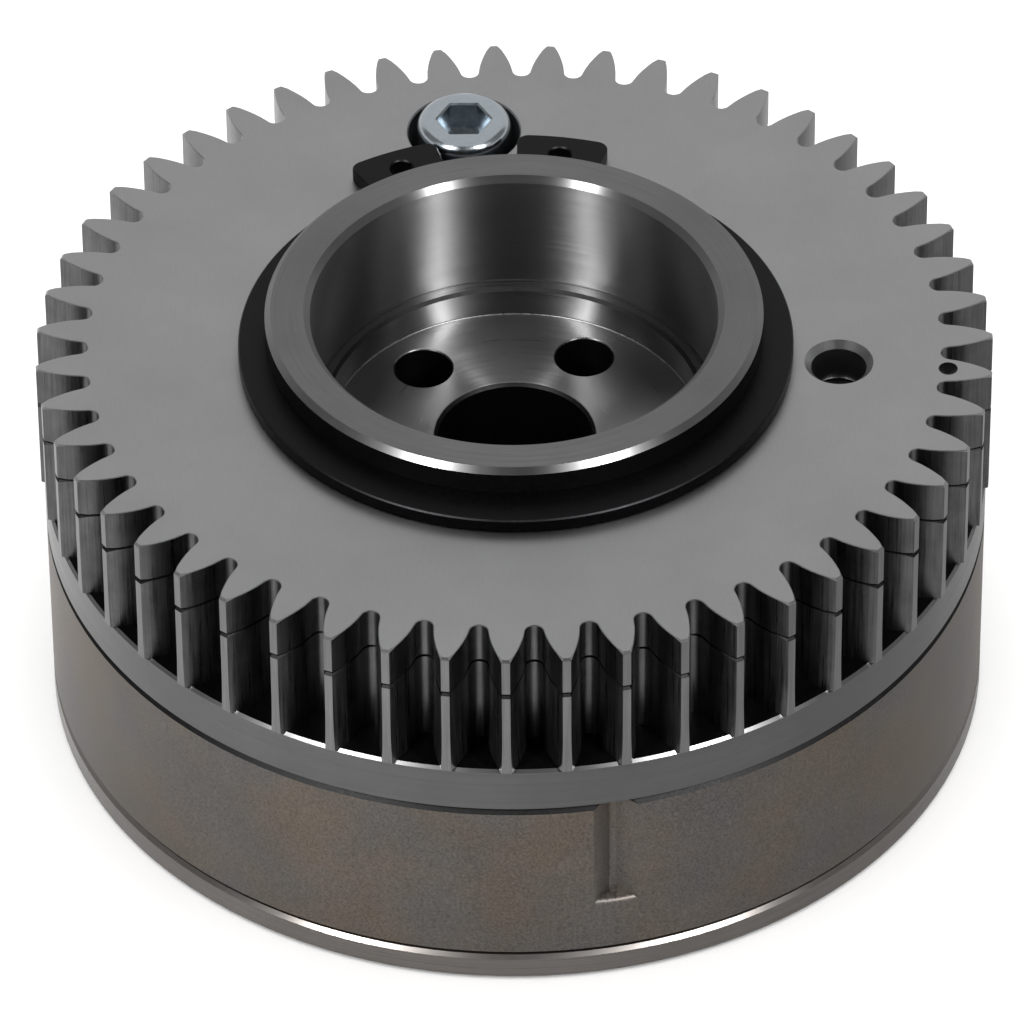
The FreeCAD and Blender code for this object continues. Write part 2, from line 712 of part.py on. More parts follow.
def retaining_ring():
    lug_width_angle = less(D.lug_outer_angle, D.lug_inner_angle)
    first_lug_angle = total(D.ring_gap_angle, D.lug_inner_angle)
    second_lug_angle = less(D.ring_gap_angle, D.lug_outer_angle)
    band = cylinder("ring_band", f"2 * {total(GROOVE, D.ring_band_width)}", D.ring_thickness, RING_Z,
                    f"-{D.ring_offset}", D.ring_gap_angle)
    lugs = []
    for name, angle in (("first", first_lug_angle), ("second", second_lug_angle)):
        lug = cylinder(f"{name}_lug", f"2 * {LUG}", D.ring_thickness, RING_Z, angle=angle,
                       sweep=lug_width_angle)
        lugs.append(rounded_lug(name, lug))
    outline = fuse("ring_outline", [band, *lugs])
    below = less(RING_Z, PAST)
    through = total(D.ring_thickness, f"2 * {PAST}")
    tools = [
        cylinder("ring_inside", f"2 * {total(GROOVE, D.pin_clearance)}", through, below),
        cylinder("ring_gap", f"2 * {LUG}", through, below,
                 angle=less(D.ring_gap_angle, D.lug_inner_angle), sweep=f"2 * {D.lug_inner_angle}"),
    ]
    hole_angle = half(total(D.lug_inner_angle, D.lug_outer_angle))
    for side, angle in enumerate((total(D.ring_gap_angle, hole_angle), less(D.ring_gap_angle, hole_angle))):
        tools.append(cylinder(f"lug_hole_{side}", D.lug_hole_diameter, through, below,
                              total(GROOVE, D.lug_hole_reach), angle))
    node("retaining_ring", cut("retaining_ring", outline, tools))


def rounded_lug(name, lug):
    """Lug whose two outer upright edges are rounded."""
    doc.recompute()
    reach = value(LUG)
    rounded = doc.addObject("Part::Fillet", f"{name}_rounded_lug")
    rounded.Base = lug
    radius = value(D.lug_round)
    rounded.Edges = [
        (number, radius, radius)
        for number, edge in enumerate(lug.Shape.Edges, start=1)
        if all(math.hypot(vertex.X, vertex.Y) > reach / 2 for vertex in edge.Vertexes)
        and abs(edge.Vertexes[0].Z - edge.Vertexes[-1].Z) > radius / 2
    ]
    return rounded


# Ring spring that turns the scissor gear against the drive gear, and its two pins

def gear_spring():
    opening = less("360", D.spring_opening_angle)
    start = total(D.spring_gap_angle, half(D.spring_opening_angle))
    outer = cylinder("spring_outside", f"2 * {total(SPRING_INNER, D.spring_width)}", D.spring_height,
                     SPRING_FLOOR_Z, angle=start, sweep=opening)
    inner = cylinder("spring_inside", f"2 * {SPRING_INNER}", total(D.spring_height, f"2 * {PAST}"),
                     less(SPRING_FLOOR_Z, PAST))
    node("gear_spring", cut("gear_spring", outer, [inner]))


def spring_pins():
    anchor_z = less(SPRING_FLOOR_Z, D.spring_pin_depth)
    anchor_top = total(SPRING_FLOOR_Z, D.spring_height)
    node("anchor_pin", cylinder("anchor_pin", D.spring_pin_diameter, less(anchor_top, anchor_z), anchor_z,
                                SPRING_MIDDLE, ANCHOR_PIN_ANGLE))
    moving_z = total(SPRING_FLOOR_Z, D.spring_side_room)
    moving_top = total(SCISSOR_Z, D.spring_pin_depth)
    node("moving_pin", cylinder("moving_pin", D.spring_pin_diameter, less(moving_top, moving_z), moving_z,
                                SPRING_MIDDLE, MOVING_PIN_ANGLE))


# Rotor: hub, vanes and the nose that runs in the collar

def rotor():
    height = less(ROTOR_TOP_Z, ROTOR_Z)
    hub = cylinder("rotor_hub", f"2 * {less(LOBE_BORE, D.running_clearance)}", height, ROTOR_Z)
    nose = cylinder("rotor_nose", f"2 * {less(NOSE_BORE, D.running_clearance)}",
                    less(RIM_Z, ROTOR_Z), ROTOR_Z)
    vanes = []
    for index in CHAMBERS:
        vanes.append(cylinder(f"vane_{index}", f"2 * {VANE}", height, ROTOR_Z,
                              angle=less(spaced(FIRST_VANE_ANGLE, index), half(D.vane_width_angle)),
                              sweep=D.vane_width_angle))
    solid = fuse("rotor_solid", [hub, nose, *vanes])

    below = less(ROTOR_Z, PAST)
    centre = turned("rotor_centre", [
        ("0", below),
        (half(D.bolt_seat_diameter), below),
        (half(D.bolt_seat_diameter), total(ROTOR_Z, D.bolt_seat_depth)),
        (half(D.centre_bore), total(ROTOR_Z, D.bolt_seat_depth)),
        (half(D.centre_bore), less(FLOOR_Z, D.centre_chamfer)),
        (total(half(D.centre_bore), D.centre_chamfer), FLOOR_Z),
        (RECESS, FLOOR_Z),
        (RECESS, less(RIM_Z, D.recess_chamfer)),
        (total(RECESS, D.recess_chamfer), RIM_Z),
        (total(RECESS, D.recess_chamfer), total(RIM_Z, PAST)),
        ("0", total(RIM_Z, PAST)),
    ])
    tools = [centre]
    for index in CHAMBERS:
        angle = spaced(D.oil_hole_angle, index)
        tools.append(cylinder(f"oil_hole_{index}", D.oil_hole_diameter, total(D.oil_hole_depth, PAST),
                              less(FLOOR_Z, D.oil_hole_depth), D.oil_hole_radius, angle))
        tools.append(oil_duct(index, angle))
        tools.append(box(f"seal_slot_{index}", total(D.seal_length, D.leaf_room, PAST),
                         total(D.seal_width, f"2 * {D.seal_clearance}"), total(height, f"2 * {PAST}"),
                         SEAL_SLOT_FLOOR, below, spaced(FIRST_VANE_ANGLE, index)))
    tools.append(cylinder("lock_bore", total(D.lock_diameter, f"2 * {D.lock_clearance}"),
                          total(height, f"2 * {PAST}"), below, LOCK_AT, LOCK_ANGLE))
    tools.append(cylinder("cam_dowel_seat", DOWEL_HOLE,
                          total(D.cam_dowel_depth, D.end_play, PAST),
                          less(FLOOR_Z, D.cam_dowel_depth, D.end_play), D.oil_hole_radius, D.cam_dowel_angle))
    node("rotor", cut("rotor", solid, tools))


def oil_duct(index, angle):
    """Slanting drilling from an oil hole out to the hub's surface beside a vane."""
    duct = doc.addObject("Part::Cylinder", f"oil_duct_{index}")
    bind(duct, Radius=half(D.oil_duct_diameter), Height=less(LOBE_BORE, half(D.oil_hole_radius)))
    x, y = along(D.oil_hole_radius, angle)
    heading = total(angle, D.oil_duct_lead_angle)
    place(duct, x, y, total(ROTOR_Z, D.oil_duct_height), heading)
    outward = Vector(math.cos(math.radians(value(heading))), math.sin(math.radians(value(heading))), 0)
    lie_down = FreeCAD.Rotation(Vector(0, 0, 1), outward)
    duct.setExpression("Placement.Rotation.Angle", None)
    duct.Placement.Rotation = lie_down
    return duct


# Vane tip seals, each pressed outward by a bowed leaf spring

def vane_seals():
    height = less(ROTOR_TOP_Z, ROTOR_Z)
    leaf_length = less(height, f"2 * {D.leaf_end_room}")
    bow = less(D.leaf_room, D.leaf_thickness)
    bend = f"(({leaf_length} ^ 2 / 4 + {bow} ^ 2) / (2 * {bow}))"
    middle_z = total(ROTOR_Z, half(height))
    for index in CHAMBERS:
        angle = spaced(FIRST_VANE_ANGLE, index)
        seal = box(f"vane_seal_{index + 1}", D.seal_length, D.seal_width, height, SEAL_INNER, ROTOR_Z, angle)
        node(f"vane_seal_{index + 1}", seal)
        outside = lying_cylinder(f"leaf_outside_{index}", bend, less(SEAL_INNER, bend), middle_z)
        inside = lying_cylinder(f"leaf_inside_{index}", less(bend, D.leaf_thickness),
                                less(SEAL_INNER, bend), middle_z)
        strip = doc.addObject("Part::Box", f"leaf_strip_{index}")
        bind(strip, Length=D.leaf_room, Width=D.leaf_width, Height=leaf_length)
        place(strip, SEAL_SLOT_FLOOR, f"-{half(D.leaf_width)}", less(middle_z, half(leaf_length)))
        leaf = doc.addObject("Part::Common", f"seal_spring_{index + 1}")
        leaf.Base = cut(f"leaf_bent_{index}", outside, [inside])
        leaf.Tool = strip
        node(f"seal_spring_{index + 1}", place(leaf, turn=angle))


def lying_cylinder(name, radius, x, z):
    """Cylinder along Y, as wide as a vane and centred on it."""
    piece = doc.addObject("Part::Cylinder", name)
    bind(piece, Radius=radius, Height=CHAMBER)
    piece.Placement.Rotation = FreeCAD.Rotation(Vector(1, 0, 0), -90)
    for axis, expression in (("x", x), ("y", f"-{half(CHAMBER)}"), ("z", z)):
        piece.setExpression(f"Placement.Base.{axis}", expression)
    return piece


# Lock pin drawn into its vane, with its spring, its cap and the bush that it enters when parked

def lock_set():
    x, y = along(LOCK_AT, LOCK_ANGLE)
    radius = half(D.lock_diameter)
    nose_z = less(ROTOR_TOP_Z, D.lock_drawn_in)
    pin_z = less(nose_z, D.lock_length)
    pocket_radius = less(radius, D.lock_pin_wall)
    pocket_top = total(pin_z, D.lock_pocket_depth)
    node("lock_pin", place(turned("lock_pin", [
        (pocket_radius, pin_z),
        (radius, pin_z),
        (radius, less(nose_z, D.lock_nose_chamfer)),
        (less(radius, D.lock_nose_chamfer), nose_z),
        ("0", nose_z),
        ("0", pocket_top),
        (pocket_radius, pocket_top),
    ]), x, y))
    coil_radius = less(pocket_radius, D.lock_wire_room, half(D.lock_wire))
    guide_radius = less(coil_radius, half(D.lock_wire), D.lock_guide_room)
    cap_z = total(ROTOR_Z, D.lock_cap_lift)
    cap_top = total(cap_z, D.lock_cap_height)
    node("lock_cap", place(turned("lock_cap", [
        ("0", cap_z),
        (radius, cap_z),
        (radius, cap_top),
        (guide_radius, cap_top),
        (guide_radius, total(cap_top, D.lock_guide_height)),
        ("0", total(cap_top, D.lock_guide_height)),
    ]), x, y))
    node("lock_bush", cut("lock_bush",
                          cylinder("bush_outside", f"2 * {BUSH}", D.bush_depth, FLANGE_Z,
                                   LOCK_AT, LOCK_ANGLE),
                          [cylinder("bush_inside", f"2 * {BUSH_BORE}", total(D.bush_depth, f"2 * {PAST}"),
                                    less(FLANGE_Z, PAST), LOCK_AT, LOCK_ANGLE)]))
    lock_spring(x, y, cap_top, pocket_top, coil_radius)


def lock_spring(x, y, bottom, top, radius):
    """Coil spring between the cap and the pin's pocket, as a round wire swept along a helix."""
    wire = half(D.lock_wire)
    start = total(bottom, wire)
    rise = less(top, bottom, D.lock_wire)
    helix = doc.addObject("Part::Helix", "lock_spring_helix")
    bind(helix, Pitch=f"{rise} / {D.lock_spring_turn_count}", Height=rise, Radius=radius)
    ring = doc.addObject("Part::Circle", "lock_spring_wire")
    bind(ring, Radius=wire)
    ring.Placement.Rotation = FreeCAD.Rotation(Vector(1, 0, 0), 90)
    ring.setExpression("Placement.Base.x", radius)
    coil = doc.addObject("Part::Sweep", "lock_spring")
    coil.Sections = [ring]
    coil.Spine = (helix, [])
    coil.Solid = True
    coil.Frenet = True
    node("lock_spring", place(coil, x, y, start))


# Dowels that line up the housing, the cover and the camshaft

def dowels():
    node("housing_dowel", cylinder("housing_dowel", D.dowel_diameter, D.housing_dowel_length,
                                   HOUSING_DOWEL_Z, DOWEL_AT, HOUSING_DOWEL_ANGLE))
    node("cover_dowel", cylinder("cover_dowel", D.dowel_diameter, less(COVER_DOWEL_TOP_Z, D.end_play),
                                 D.end_play, DOWEL_AT, COVER_DOWEL_ANGLE))
    node("cam_dowel", cylinder("cam_dowel", D.dowel_diameter, total(D.cam_dowel_depth, D.cam_dowel_rise),
                               less(FLOOR_Z, D.cam_dowel_depth), D.oil_hole_radius, D.cam_dowel_angle))


def check_document():
    """Stops if any object failed or any sub-part has no sound shape."""
    for item in doc.Objects:
        if "Invalid" in item.State or "Error" in item.State:
            raise RuntimeError(f"{item.Name} failed: {item.State}")
    for piece in nodes:
        if piece.Shape.isNull() or not piece.Shape.isValid() or not piece.Shape.Solids:
            raise RuntimeError(f"{piece.Label} has no sound solid")


def write_parts():
    os.makedirs("parts", exist_ok=True)
    for piece in nodes:
        piece.Shape.exportStep(f"parts/{piece.Label}.step")


drive_gear()
scissor_gear()
retaining_ring()
stop_screw()
gear_spring()
spring_pins()
stator_housing()
rear_cover()
cover_screws()
rotor()
vane_seals()
lock_set()
dowels()
doc.recompute()
check_document()
write_parts()
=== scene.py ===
"""Cam phaser: detailed pieces, finishes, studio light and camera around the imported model.

Metres, +Z along the turning axis up to the camshaft side, origin on the axis at the rear cover's rear face.
"""

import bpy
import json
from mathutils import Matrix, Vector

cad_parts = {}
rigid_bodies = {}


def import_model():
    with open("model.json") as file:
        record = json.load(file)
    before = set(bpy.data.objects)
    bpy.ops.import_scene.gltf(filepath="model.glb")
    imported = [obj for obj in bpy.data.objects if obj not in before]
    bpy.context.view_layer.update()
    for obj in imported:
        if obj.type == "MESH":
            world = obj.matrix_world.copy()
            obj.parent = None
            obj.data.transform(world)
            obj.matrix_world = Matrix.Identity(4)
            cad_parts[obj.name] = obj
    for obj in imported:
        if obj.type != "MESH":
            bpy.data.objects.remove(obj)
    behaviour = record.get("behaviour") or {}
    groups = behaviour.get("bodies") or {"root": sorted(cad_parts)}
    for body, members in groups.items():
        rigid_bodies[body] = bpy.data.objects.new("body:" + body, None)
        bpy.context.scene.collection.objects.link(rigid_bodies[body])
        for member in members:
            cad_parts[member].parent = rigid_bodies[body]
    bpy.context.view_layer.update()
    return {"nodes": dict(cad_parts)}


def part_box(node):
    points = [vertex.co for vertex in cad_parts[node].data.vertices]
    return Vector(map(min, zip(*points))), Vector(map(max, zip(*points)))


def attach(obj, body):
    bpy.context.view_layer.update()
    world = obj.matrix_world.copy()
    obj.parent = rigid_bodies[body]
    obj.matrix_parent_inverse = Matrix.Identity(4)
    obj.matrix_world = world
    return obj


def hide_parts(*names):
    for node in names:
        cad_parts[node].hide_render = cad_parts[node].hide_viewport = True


bl_info = {
    "name": "Cam Phaser",
    "version": (1, 0, 0),
    "blender": (4, 5, 0),
    "location": "3D View > Sidebar > Cam Phaser",
    "description": "Builds a cam phaser's gears, ring, screws, housing and finishes around its packed model",
    "category": "Object",
}

import json
import math

import bmesh
import bpy
from mathutils import Matrix, Vector

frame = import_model()

# Steps round a full circle, and round a small hole
ROUND = 256
SMALL_ROUND = 48
# Levels in which a tooth's run-out narrows
RUNOUT_STEPS = 5
# Points nearer than the first are one point; within the second, one lies on a given circle
WELD = 2e-7
CLOSE = 3e-5
# Faces that meet at more than this show an edge, and over this cosine a face looks along a direction
SHARP = math.radians(28)
FACING = 0.9
# A chamfer's faces rise less than this, the rounds over it more
CHAMFER_RISE = 0.8
# Steps along the ring's band, along a lug and round a quarter turn
BAND_STEPS = 180
LUG_STEPS = 8
CORNER_STEPS = 6
# Points on each tooth's root round and flank, and how far below the gaps a face still belongs to the teeth
ROOT_STEPS = 5
FLANK_STEPS = 5
ROOT_MARGIN = 0.001
# Length of a mark over its width, how much rings change on their way round, and the width of tinted clouds
AXIAL_STRETCH = 40
SCRATCH_STRETCH = 14
RING_DRIFT = 1.5
TINT_SIZE = 0.012
# Lights and cards: distance from the axis, and height of the point that they face
STUDIO_DISTANCE = 0.9
STUDIO_AIM = 0.03
# Floor: half its width, how far it lies under the part, and where painted shade darkens it to the right, in
# the metal only
FLOOR_HALF = 6.0
FLOOR_DROP = 0.00005
PAINTED_FALL_FROM = -0.03
PAINTED_FALL_TO = 0.08


def bottom(node):
    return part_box(node)[0].z


def top(node):
    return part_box(node)[1].z


def linear(code):
    """Linear colour of an sRGB hex value."""
    channels = [int(code[place:place + 2], 16) / 255 for place in (0, 2, 4)]
    return tuple(c / 12.92 if c <= 0.04045 else ((c + 0.055) / 1.055) ** 2.4 for c in channels)


# Sizes and colours that a user would change

def size(name, description, default):
    return bpy.props.FloatProperty(
        name=name, description=description, default=default, min=0.0, precision=5, unit="LENGTH")


def turn(name, description, degrees):
    return bpy.props.FloatProperty(
        name=name, description=description, default=math.radians(degrees), subtype="ANGLE", unit="ROTATION")


def number(name, description, default):
    return bpy.props.IntProperty(name=name, description=description, default=default, min=1)


def colour(name, description, code):
    return bpy.props.FloatVectorProperty(
        name=name, description=description, default=linear(code), size=3, min=0.0, max=1.0, subtype="COLOR")


class PHASER_PG_teeth(bpy.types.PropertyGroup):
    """Teeth, the same on both gears"""

    count: number("Teeth", "Teeth round each gear", 51)
    module: size("Module", "Pitch diameter over the number of teeth", 0.001855)
    pressure: turn("Pressure angle", "Slope of the flanks at the pitch circle", 17.5)
    addendum: size("Addendum", "Tooth height above the pitch circle", 0.0026975)
    dedendum: size("Dedendum", "Tooth depth below the pitch circle", 0.0027525)
    root_round: size("Root round", "Height at which a flank runs into the gap's round bottom", 0.00095)
    phase: turn("First tooth", "Angle of the first tooth's middle", -84.25)
    tip_chamfer: size("Tip chamfer", "Chamfer of the tips at both faces", 0.00025)
    edge_chamfer: size("Edge chamfer", "Deburred edge along flanks and gaps", 0.00008)
    join: size("Join radius", "Where the toothed rim meets the plate", 0.0436)
    runout_height: size("Run-out height", "Height over the flange that the wheel leaves thicker", 0.005)
    runout_swell: size("Run-out swell", "What the wheel leaves on each flank at the flange", 0.00012)


class PHASER_PG_gears(bpy.types.PropertyGroup):
    """Bores, seats and marks of the two gears"""

    body_radius: size("Body radius", "Outer radius of flange, housing and cover", 0.04965)
    flange_thickness: size("Flange thickness", "Flange between housing and teeth", 0.0055)
    flange_top_chamfer: size("Flange chamfer", "Chamfer under the teeth", 0.0003)
    flange_seam_chamfer: size("Seam chamfer", "Chamfer at the housing", 0.00025)
    housing_chamfer: size("Housing chamfer", "Chamfer of the housing under the flange", 0.0006)
    teeth_length: size("Drive teeth length", "Length of the drive gear's teeth", 0.01045)
    collar_radius: size("Collar radius", "Outer radius of the collar", 0.026)
    collar_chamfer: size("Collar chamfer", "Outer edge of the collar's top", 0.0006)
    shoulder: size("Shoulder", "Step that carries the scissor gear", 0.001)
    shoulder_drop: size("Shoulder drop", "Play between the shoulder and the scissor gear", 0.00003)
    groove_depth: size("Groove depth", "Depth of the retaining ring's groove", 0.0015)
    groove_play: size("Groove play", "Play on each side of the ring", 0.00005)
    journal_radius: size("Journal bore", "Radius of the honed bore", 0.0213)
    journal_depth: size("Journal depth", "Depth of the honed bore", 0.0138)
    journal_chamfer: size("Journal chamfer", "Chamfer at the bore's mouth", 0.00065)
    nose_radius: size("Nose bore", "Radius that the rotor's nose runs in", 0.021)
    spring_room: size("Spring room", "Outer radius of the ring spring's room", 0.0305)
    spring_room_depth: size("Spring room depth", "Depth of that room under the web", 0.0057)
    stop_at: size("Stop radius", "Stop screw's distance from the axis", 0.0355)
    stop_angle: turn("Stop angle", "Stop screw's place", 98.4)
    window_radius: size("Window radius", "Window round the stop screw's head", 0.006)
    seat_rise: size("Seat rise", "Raised seat under the stop screw", 0.00055)
    seat_radius: size("Seat radius", "Radius of that seat", 0.005)
    stop_tap: size("Stop tap", "Radius of the stop screw's tapped hole", 0.00305)
    stop_tap_depth: size("Stop tap depth", "Depth of the tapped hole", 0.0135)
    service_at: size("Service radius", "Service hole's distance from the axis", 0.034)
    service_angle: turn("Service angle", "Service hole's place", -6.3)
    service_radius: size("Service hole", "Radius of the service hole", 0.0029)
    service_sink: size("Service sink", "Width and depth of its countersink", 0.0007)
    service_pin: size("Pin hole", "Radius of the hole below it in the drive gear", 0.0025)
    service_pin_depth: size("Pin hole depth", "Depth of the hole below it", 0.008)
    dimple_at: size("Dimple radius", "Timing dimple's distance from the axis", 0.0454)
    dimple_radius: size("Dimple", "Radius of the timing dimple", 0.001)
    dimple_depth: size("Dimple depth", "Depth of the timing dimple", 0.0006)
    scissor_play: size("Scissor play", "Play between the collar and the scissor gear", 0.00003)
    scissor_chamfer: size("Scissor bore chamfer", "Chamfer of the scissor gear's bore", 0.0004)
    hole_edge: size("Hole edge", "Deburred edge of the round holes", 0.00015)
    recess_radius: size("Recess radius", "Radius of the rotor's recess", 0.0198)
    recess_depth: size("Recess depth", "Depth of that recess", 0.0035)
    recess_round: size("Recess round", "Round between its floor and its wall", 0.0002)
    centre_chamfer: size("Centre chamfer", "Chamfer of the rotor's centre hole", 0.00035)
    centre_edge: size("Centre edge", "Rounded edge over that chamfer", 0.0001)
    recess_chamfer: size("Recess chamfer", "Chamfer at the recess's mouth", 0.00035)
    bolt_seat: size("Bolt seat", "Radius inside which the centre bolt sits", 0.0095)
    oil_edge: size("Oil hole edge", "Deburred edge of the oil holes", 0.0002)
    notch_angle: turn("Notch angle", "Timing notch's place", -78.4)
    notch_width: size("Notch width", "Width of the timing notch", 0.0048)
    notch_depth: size("Notch depth", "Depth of the timing notch", 0.00185)
    notch_length: size("Notch length", "Length of the timing notch", 0.0135)
    notch_round: size("Notch round", "Rounds in the timing notch", 0.0005)
    pin_play: size("Pin play", "Play round the pins and the bush", 0.00001)
    screw_tap: size("Cover screw tap", "Radius of the cover screws' tapped holes", 0.00255)
    tap_past: size("Tap depth past", "Tapped hole below a screw's tip", 0.0015)


class PHASER_PG_ring(bpy.types.PropertyGroup):
    """Retaining ring"""

    gap_angle: turn("Gap", "Middle of the ring's gap", 96.9)
    inner: size("Inner radius", "Radius of the ring's inside", 0.02451)
    outer: size("Outer radius", "Radius of the band's outside", 0.02895)
    offset: size("Band offset", "How far the outside's centre lies away from the gap", 0.00135)
    reach: size("Lug radius", "Outer radius of the lugs", 0.0326)
    lug_inner: turn("Lug start", "From the gap's middle to the lug", 7.8)
    lug_outer: turn("Lug end", "From the gap's middle to the lug's far side", 25.6)
    lug_round: size("Lug round", "Round of the lugs' outer corners", 0.0012)
    hole: size("Hole radius", "Radius of the plier holes", 0.00125)
    hole_at: size("Hole place", "Plier holes' distance from the axis", 0.0295)
    edge: size("Edge", "Rounded edge of the stamped strip", 0.00014)


class PHASER_PG_screws(bpy.types.PropertyGroup):
    """Stop screw and cover screws"""

    head_edge: size("Head edge", "Round of the stop screw's head", 0.001)
    stop_head: size("Stop head", "Height of the stop screw's head", 0.006)
    stop_shank: size("Stop shank", "Radius of the stop screw's thread", 0.003)
    head_under: size("Head underside", "Chamfer under that head", 0.0002)
    stop_key: size("Stop key", "Width across the stop screw's socket", 0.005)
    stop_key_depth: size("Stop key depth", "Depth of that socket", 0.0032)
    stop_key_cone: size("Stop key cone", "Depth of the cone at that socket's end", 0.0007)
    key_edge: size("Key edge", "Chamfer at the sockets' mouths", 0.00018)
    cover_count: number("Cover screws", "Screws round the cover", 5)
    cover_at: size("Cover screw radius", "Cover screws' distance from the axis", 0.036)
    cover_angle: turn("Cover screw angle", "First cover screw's place", 62.4)
    cover_head: size("Cover head", "Radius of the countersunk heads", 0.00459)
    cover_head_height: size("Cover head height", "Height of the countersunk heads", 0.0025)
    cover_head_edge: size("Cover head edge", "Chamfer at those heads' rims", 0.00012)
    cover_shank: size("Cover shank", "Radius of the cover screws' thread", 0.0025)
    cover_key: size("Cover key", "Width across the cover screws' sockets", 0.003)
    cover_key_depth: size("Cover key depth", "Depth of those sockets", 0.0019)
    cover_key_cone: size("Cover key cone", "Depth of the cones at their ends", 0.0004)


class PHASER_PG_finish(bpy.types.PropertyGroup):
    """Colours of the metals"""

    ground: colour("Ground steel", "Faces of the scissor gear", "919192")
    turned: colour("Turned steel", "Turned faces and collar of the drive gear", "646464")
    # A darker copy of the turned steel: painted shade on the flange's rim
    flange: colour("Flange steel", "Rim of the drive gear's flange", "585858")
    bored: colour("Honed steel", "Journal bore", "6a6a6a")
    hobbed: colour("Hobbed steel", "Tips of the teeth", "6c6c6c")
    # Darker than the tips: real grinding streaks, and partly painted shade of the gaps between the teeth
    flank: colour("Flank steel", "Flanks of the teeth", "565656")
    cover: colour("Cover steel", "Rear cover", "6a6663")
    sintered: colour("Sintered steel", "Stator housing", "665f59")
    rotor: colour("Rotor steel", "Rotor", "747474")
    oxide: colour("Black oxide", "Retaining ring and cover screws", "19191a")
    # Painted shade: a near black that stands in for the shade in seams, corners, holes and on small chamfers
    scale: colour("Scale", "Seams, corners and holes where scale and oil stay", "181818")
    zinc: colour("Zinc plate", "Stop screw", "9aa1a6")
    spring: colour("Spring steel", "Springs, pins and dowels", "77787a")
    polymer: colour("Seal polymer", "Vane seals", "3a3530")


class PHASER_PG_stage(bpy.types.PropertyGroup):
    """Camera, floor and light"""

    distance: size("Camera distance", "From the gear's face to the camera", 1.00815)
    elevation: turn("Camera elevation", "Height of the camera over the gear's face", 40.0849)
    pitch: turn("Pitch", "Camera's nod off the gear's middle", -1.0122)
    yaw: turn("Yaw", "Camera's turn off the gear's middle", -0.0221)
    roll: turn("Roll", "Camera's roll", -0.5012)
    lens: bpy.props.FloatProperty(
        name="Lens", description="Focal length in millimetres", default=339.32, unit="CAMERA")
    sensor: bpy.props.FloatProperty(
        name="Sensor", description="Width of the sensor in millimetres", default=36.0, unit="CAMERA")
    floor: colour("Floor", "Floor and surroundings", "fcfcfc")
    floor_light: bpy.props.FloatProperty(
        name="Floor light", description="Strength of the light on the floor", default=1.55, min=0.0)
    # Painted shade on the floor, seen only in the metal
    painted_fall_off: bpy.props.FloatProperty(
        name="Fall-off", description="Share of the floor's light that reaches the right side", default=0.55,
        subtype="FACTOR")


GROUPS = {
    "teeth": PHASER_PG_teeth,
    "gears": PHASER_PG_gears,
    "ring": PHASER_PG_ring,
    "screws": PHASER_PG_screws,
    "finish": PHASER_PG_finish,
    "stage": PHASER_PG_stage,
}


class PHASER_PG_all(bpy.types.PropertyGroup):
    """All sizes and colours of the cam phaser"""

    teeth: bpy.props.PointerProperty(name="Teeth", description="Teeth of both gears", type=PHASER_PG_teeth)
    gears: bpy.props.PointerProperty(name="Gears", description="Bores, seats and marks", type=PHASER_PG_gears)
    ring: bpy.props.PointerProperty(name="Ring", description="Retaining ring", type=PHASER_PG_ring)
    screws: bpy.props.PointerProperty(name="Screws", description="All the screws", type=PHASER_PG_screws)
    finish: bpy.props.PointerProperty(name="Finish", description="Colours of metals", type=PHASER_PG_finish)
    stage: bpy.props.PointerProperty(name="Stage", description="Camera and light", type=PHASER_PG_stage)


# Shapes

def polar(radius, angle, z=0.0):
    return Vector((radius * math.cos(angle), radius * math.sin(angle), z))


def pitch_radius(teeth):
    return teeth.count * teeth.module / 2


def mesh_of(surface, name):
    """Mesh of a bmesh's surface, which is freed."""
    made = bpy.data.meshes.new(name)
    surface.to_mesh(made)
    surface.free()
    return made


def linked(name, data):
    """New object in the scene."""
    made = bpy.data.objects.new(name, data)
    bpy.context.scene.collection.objects.link(made)
    return made


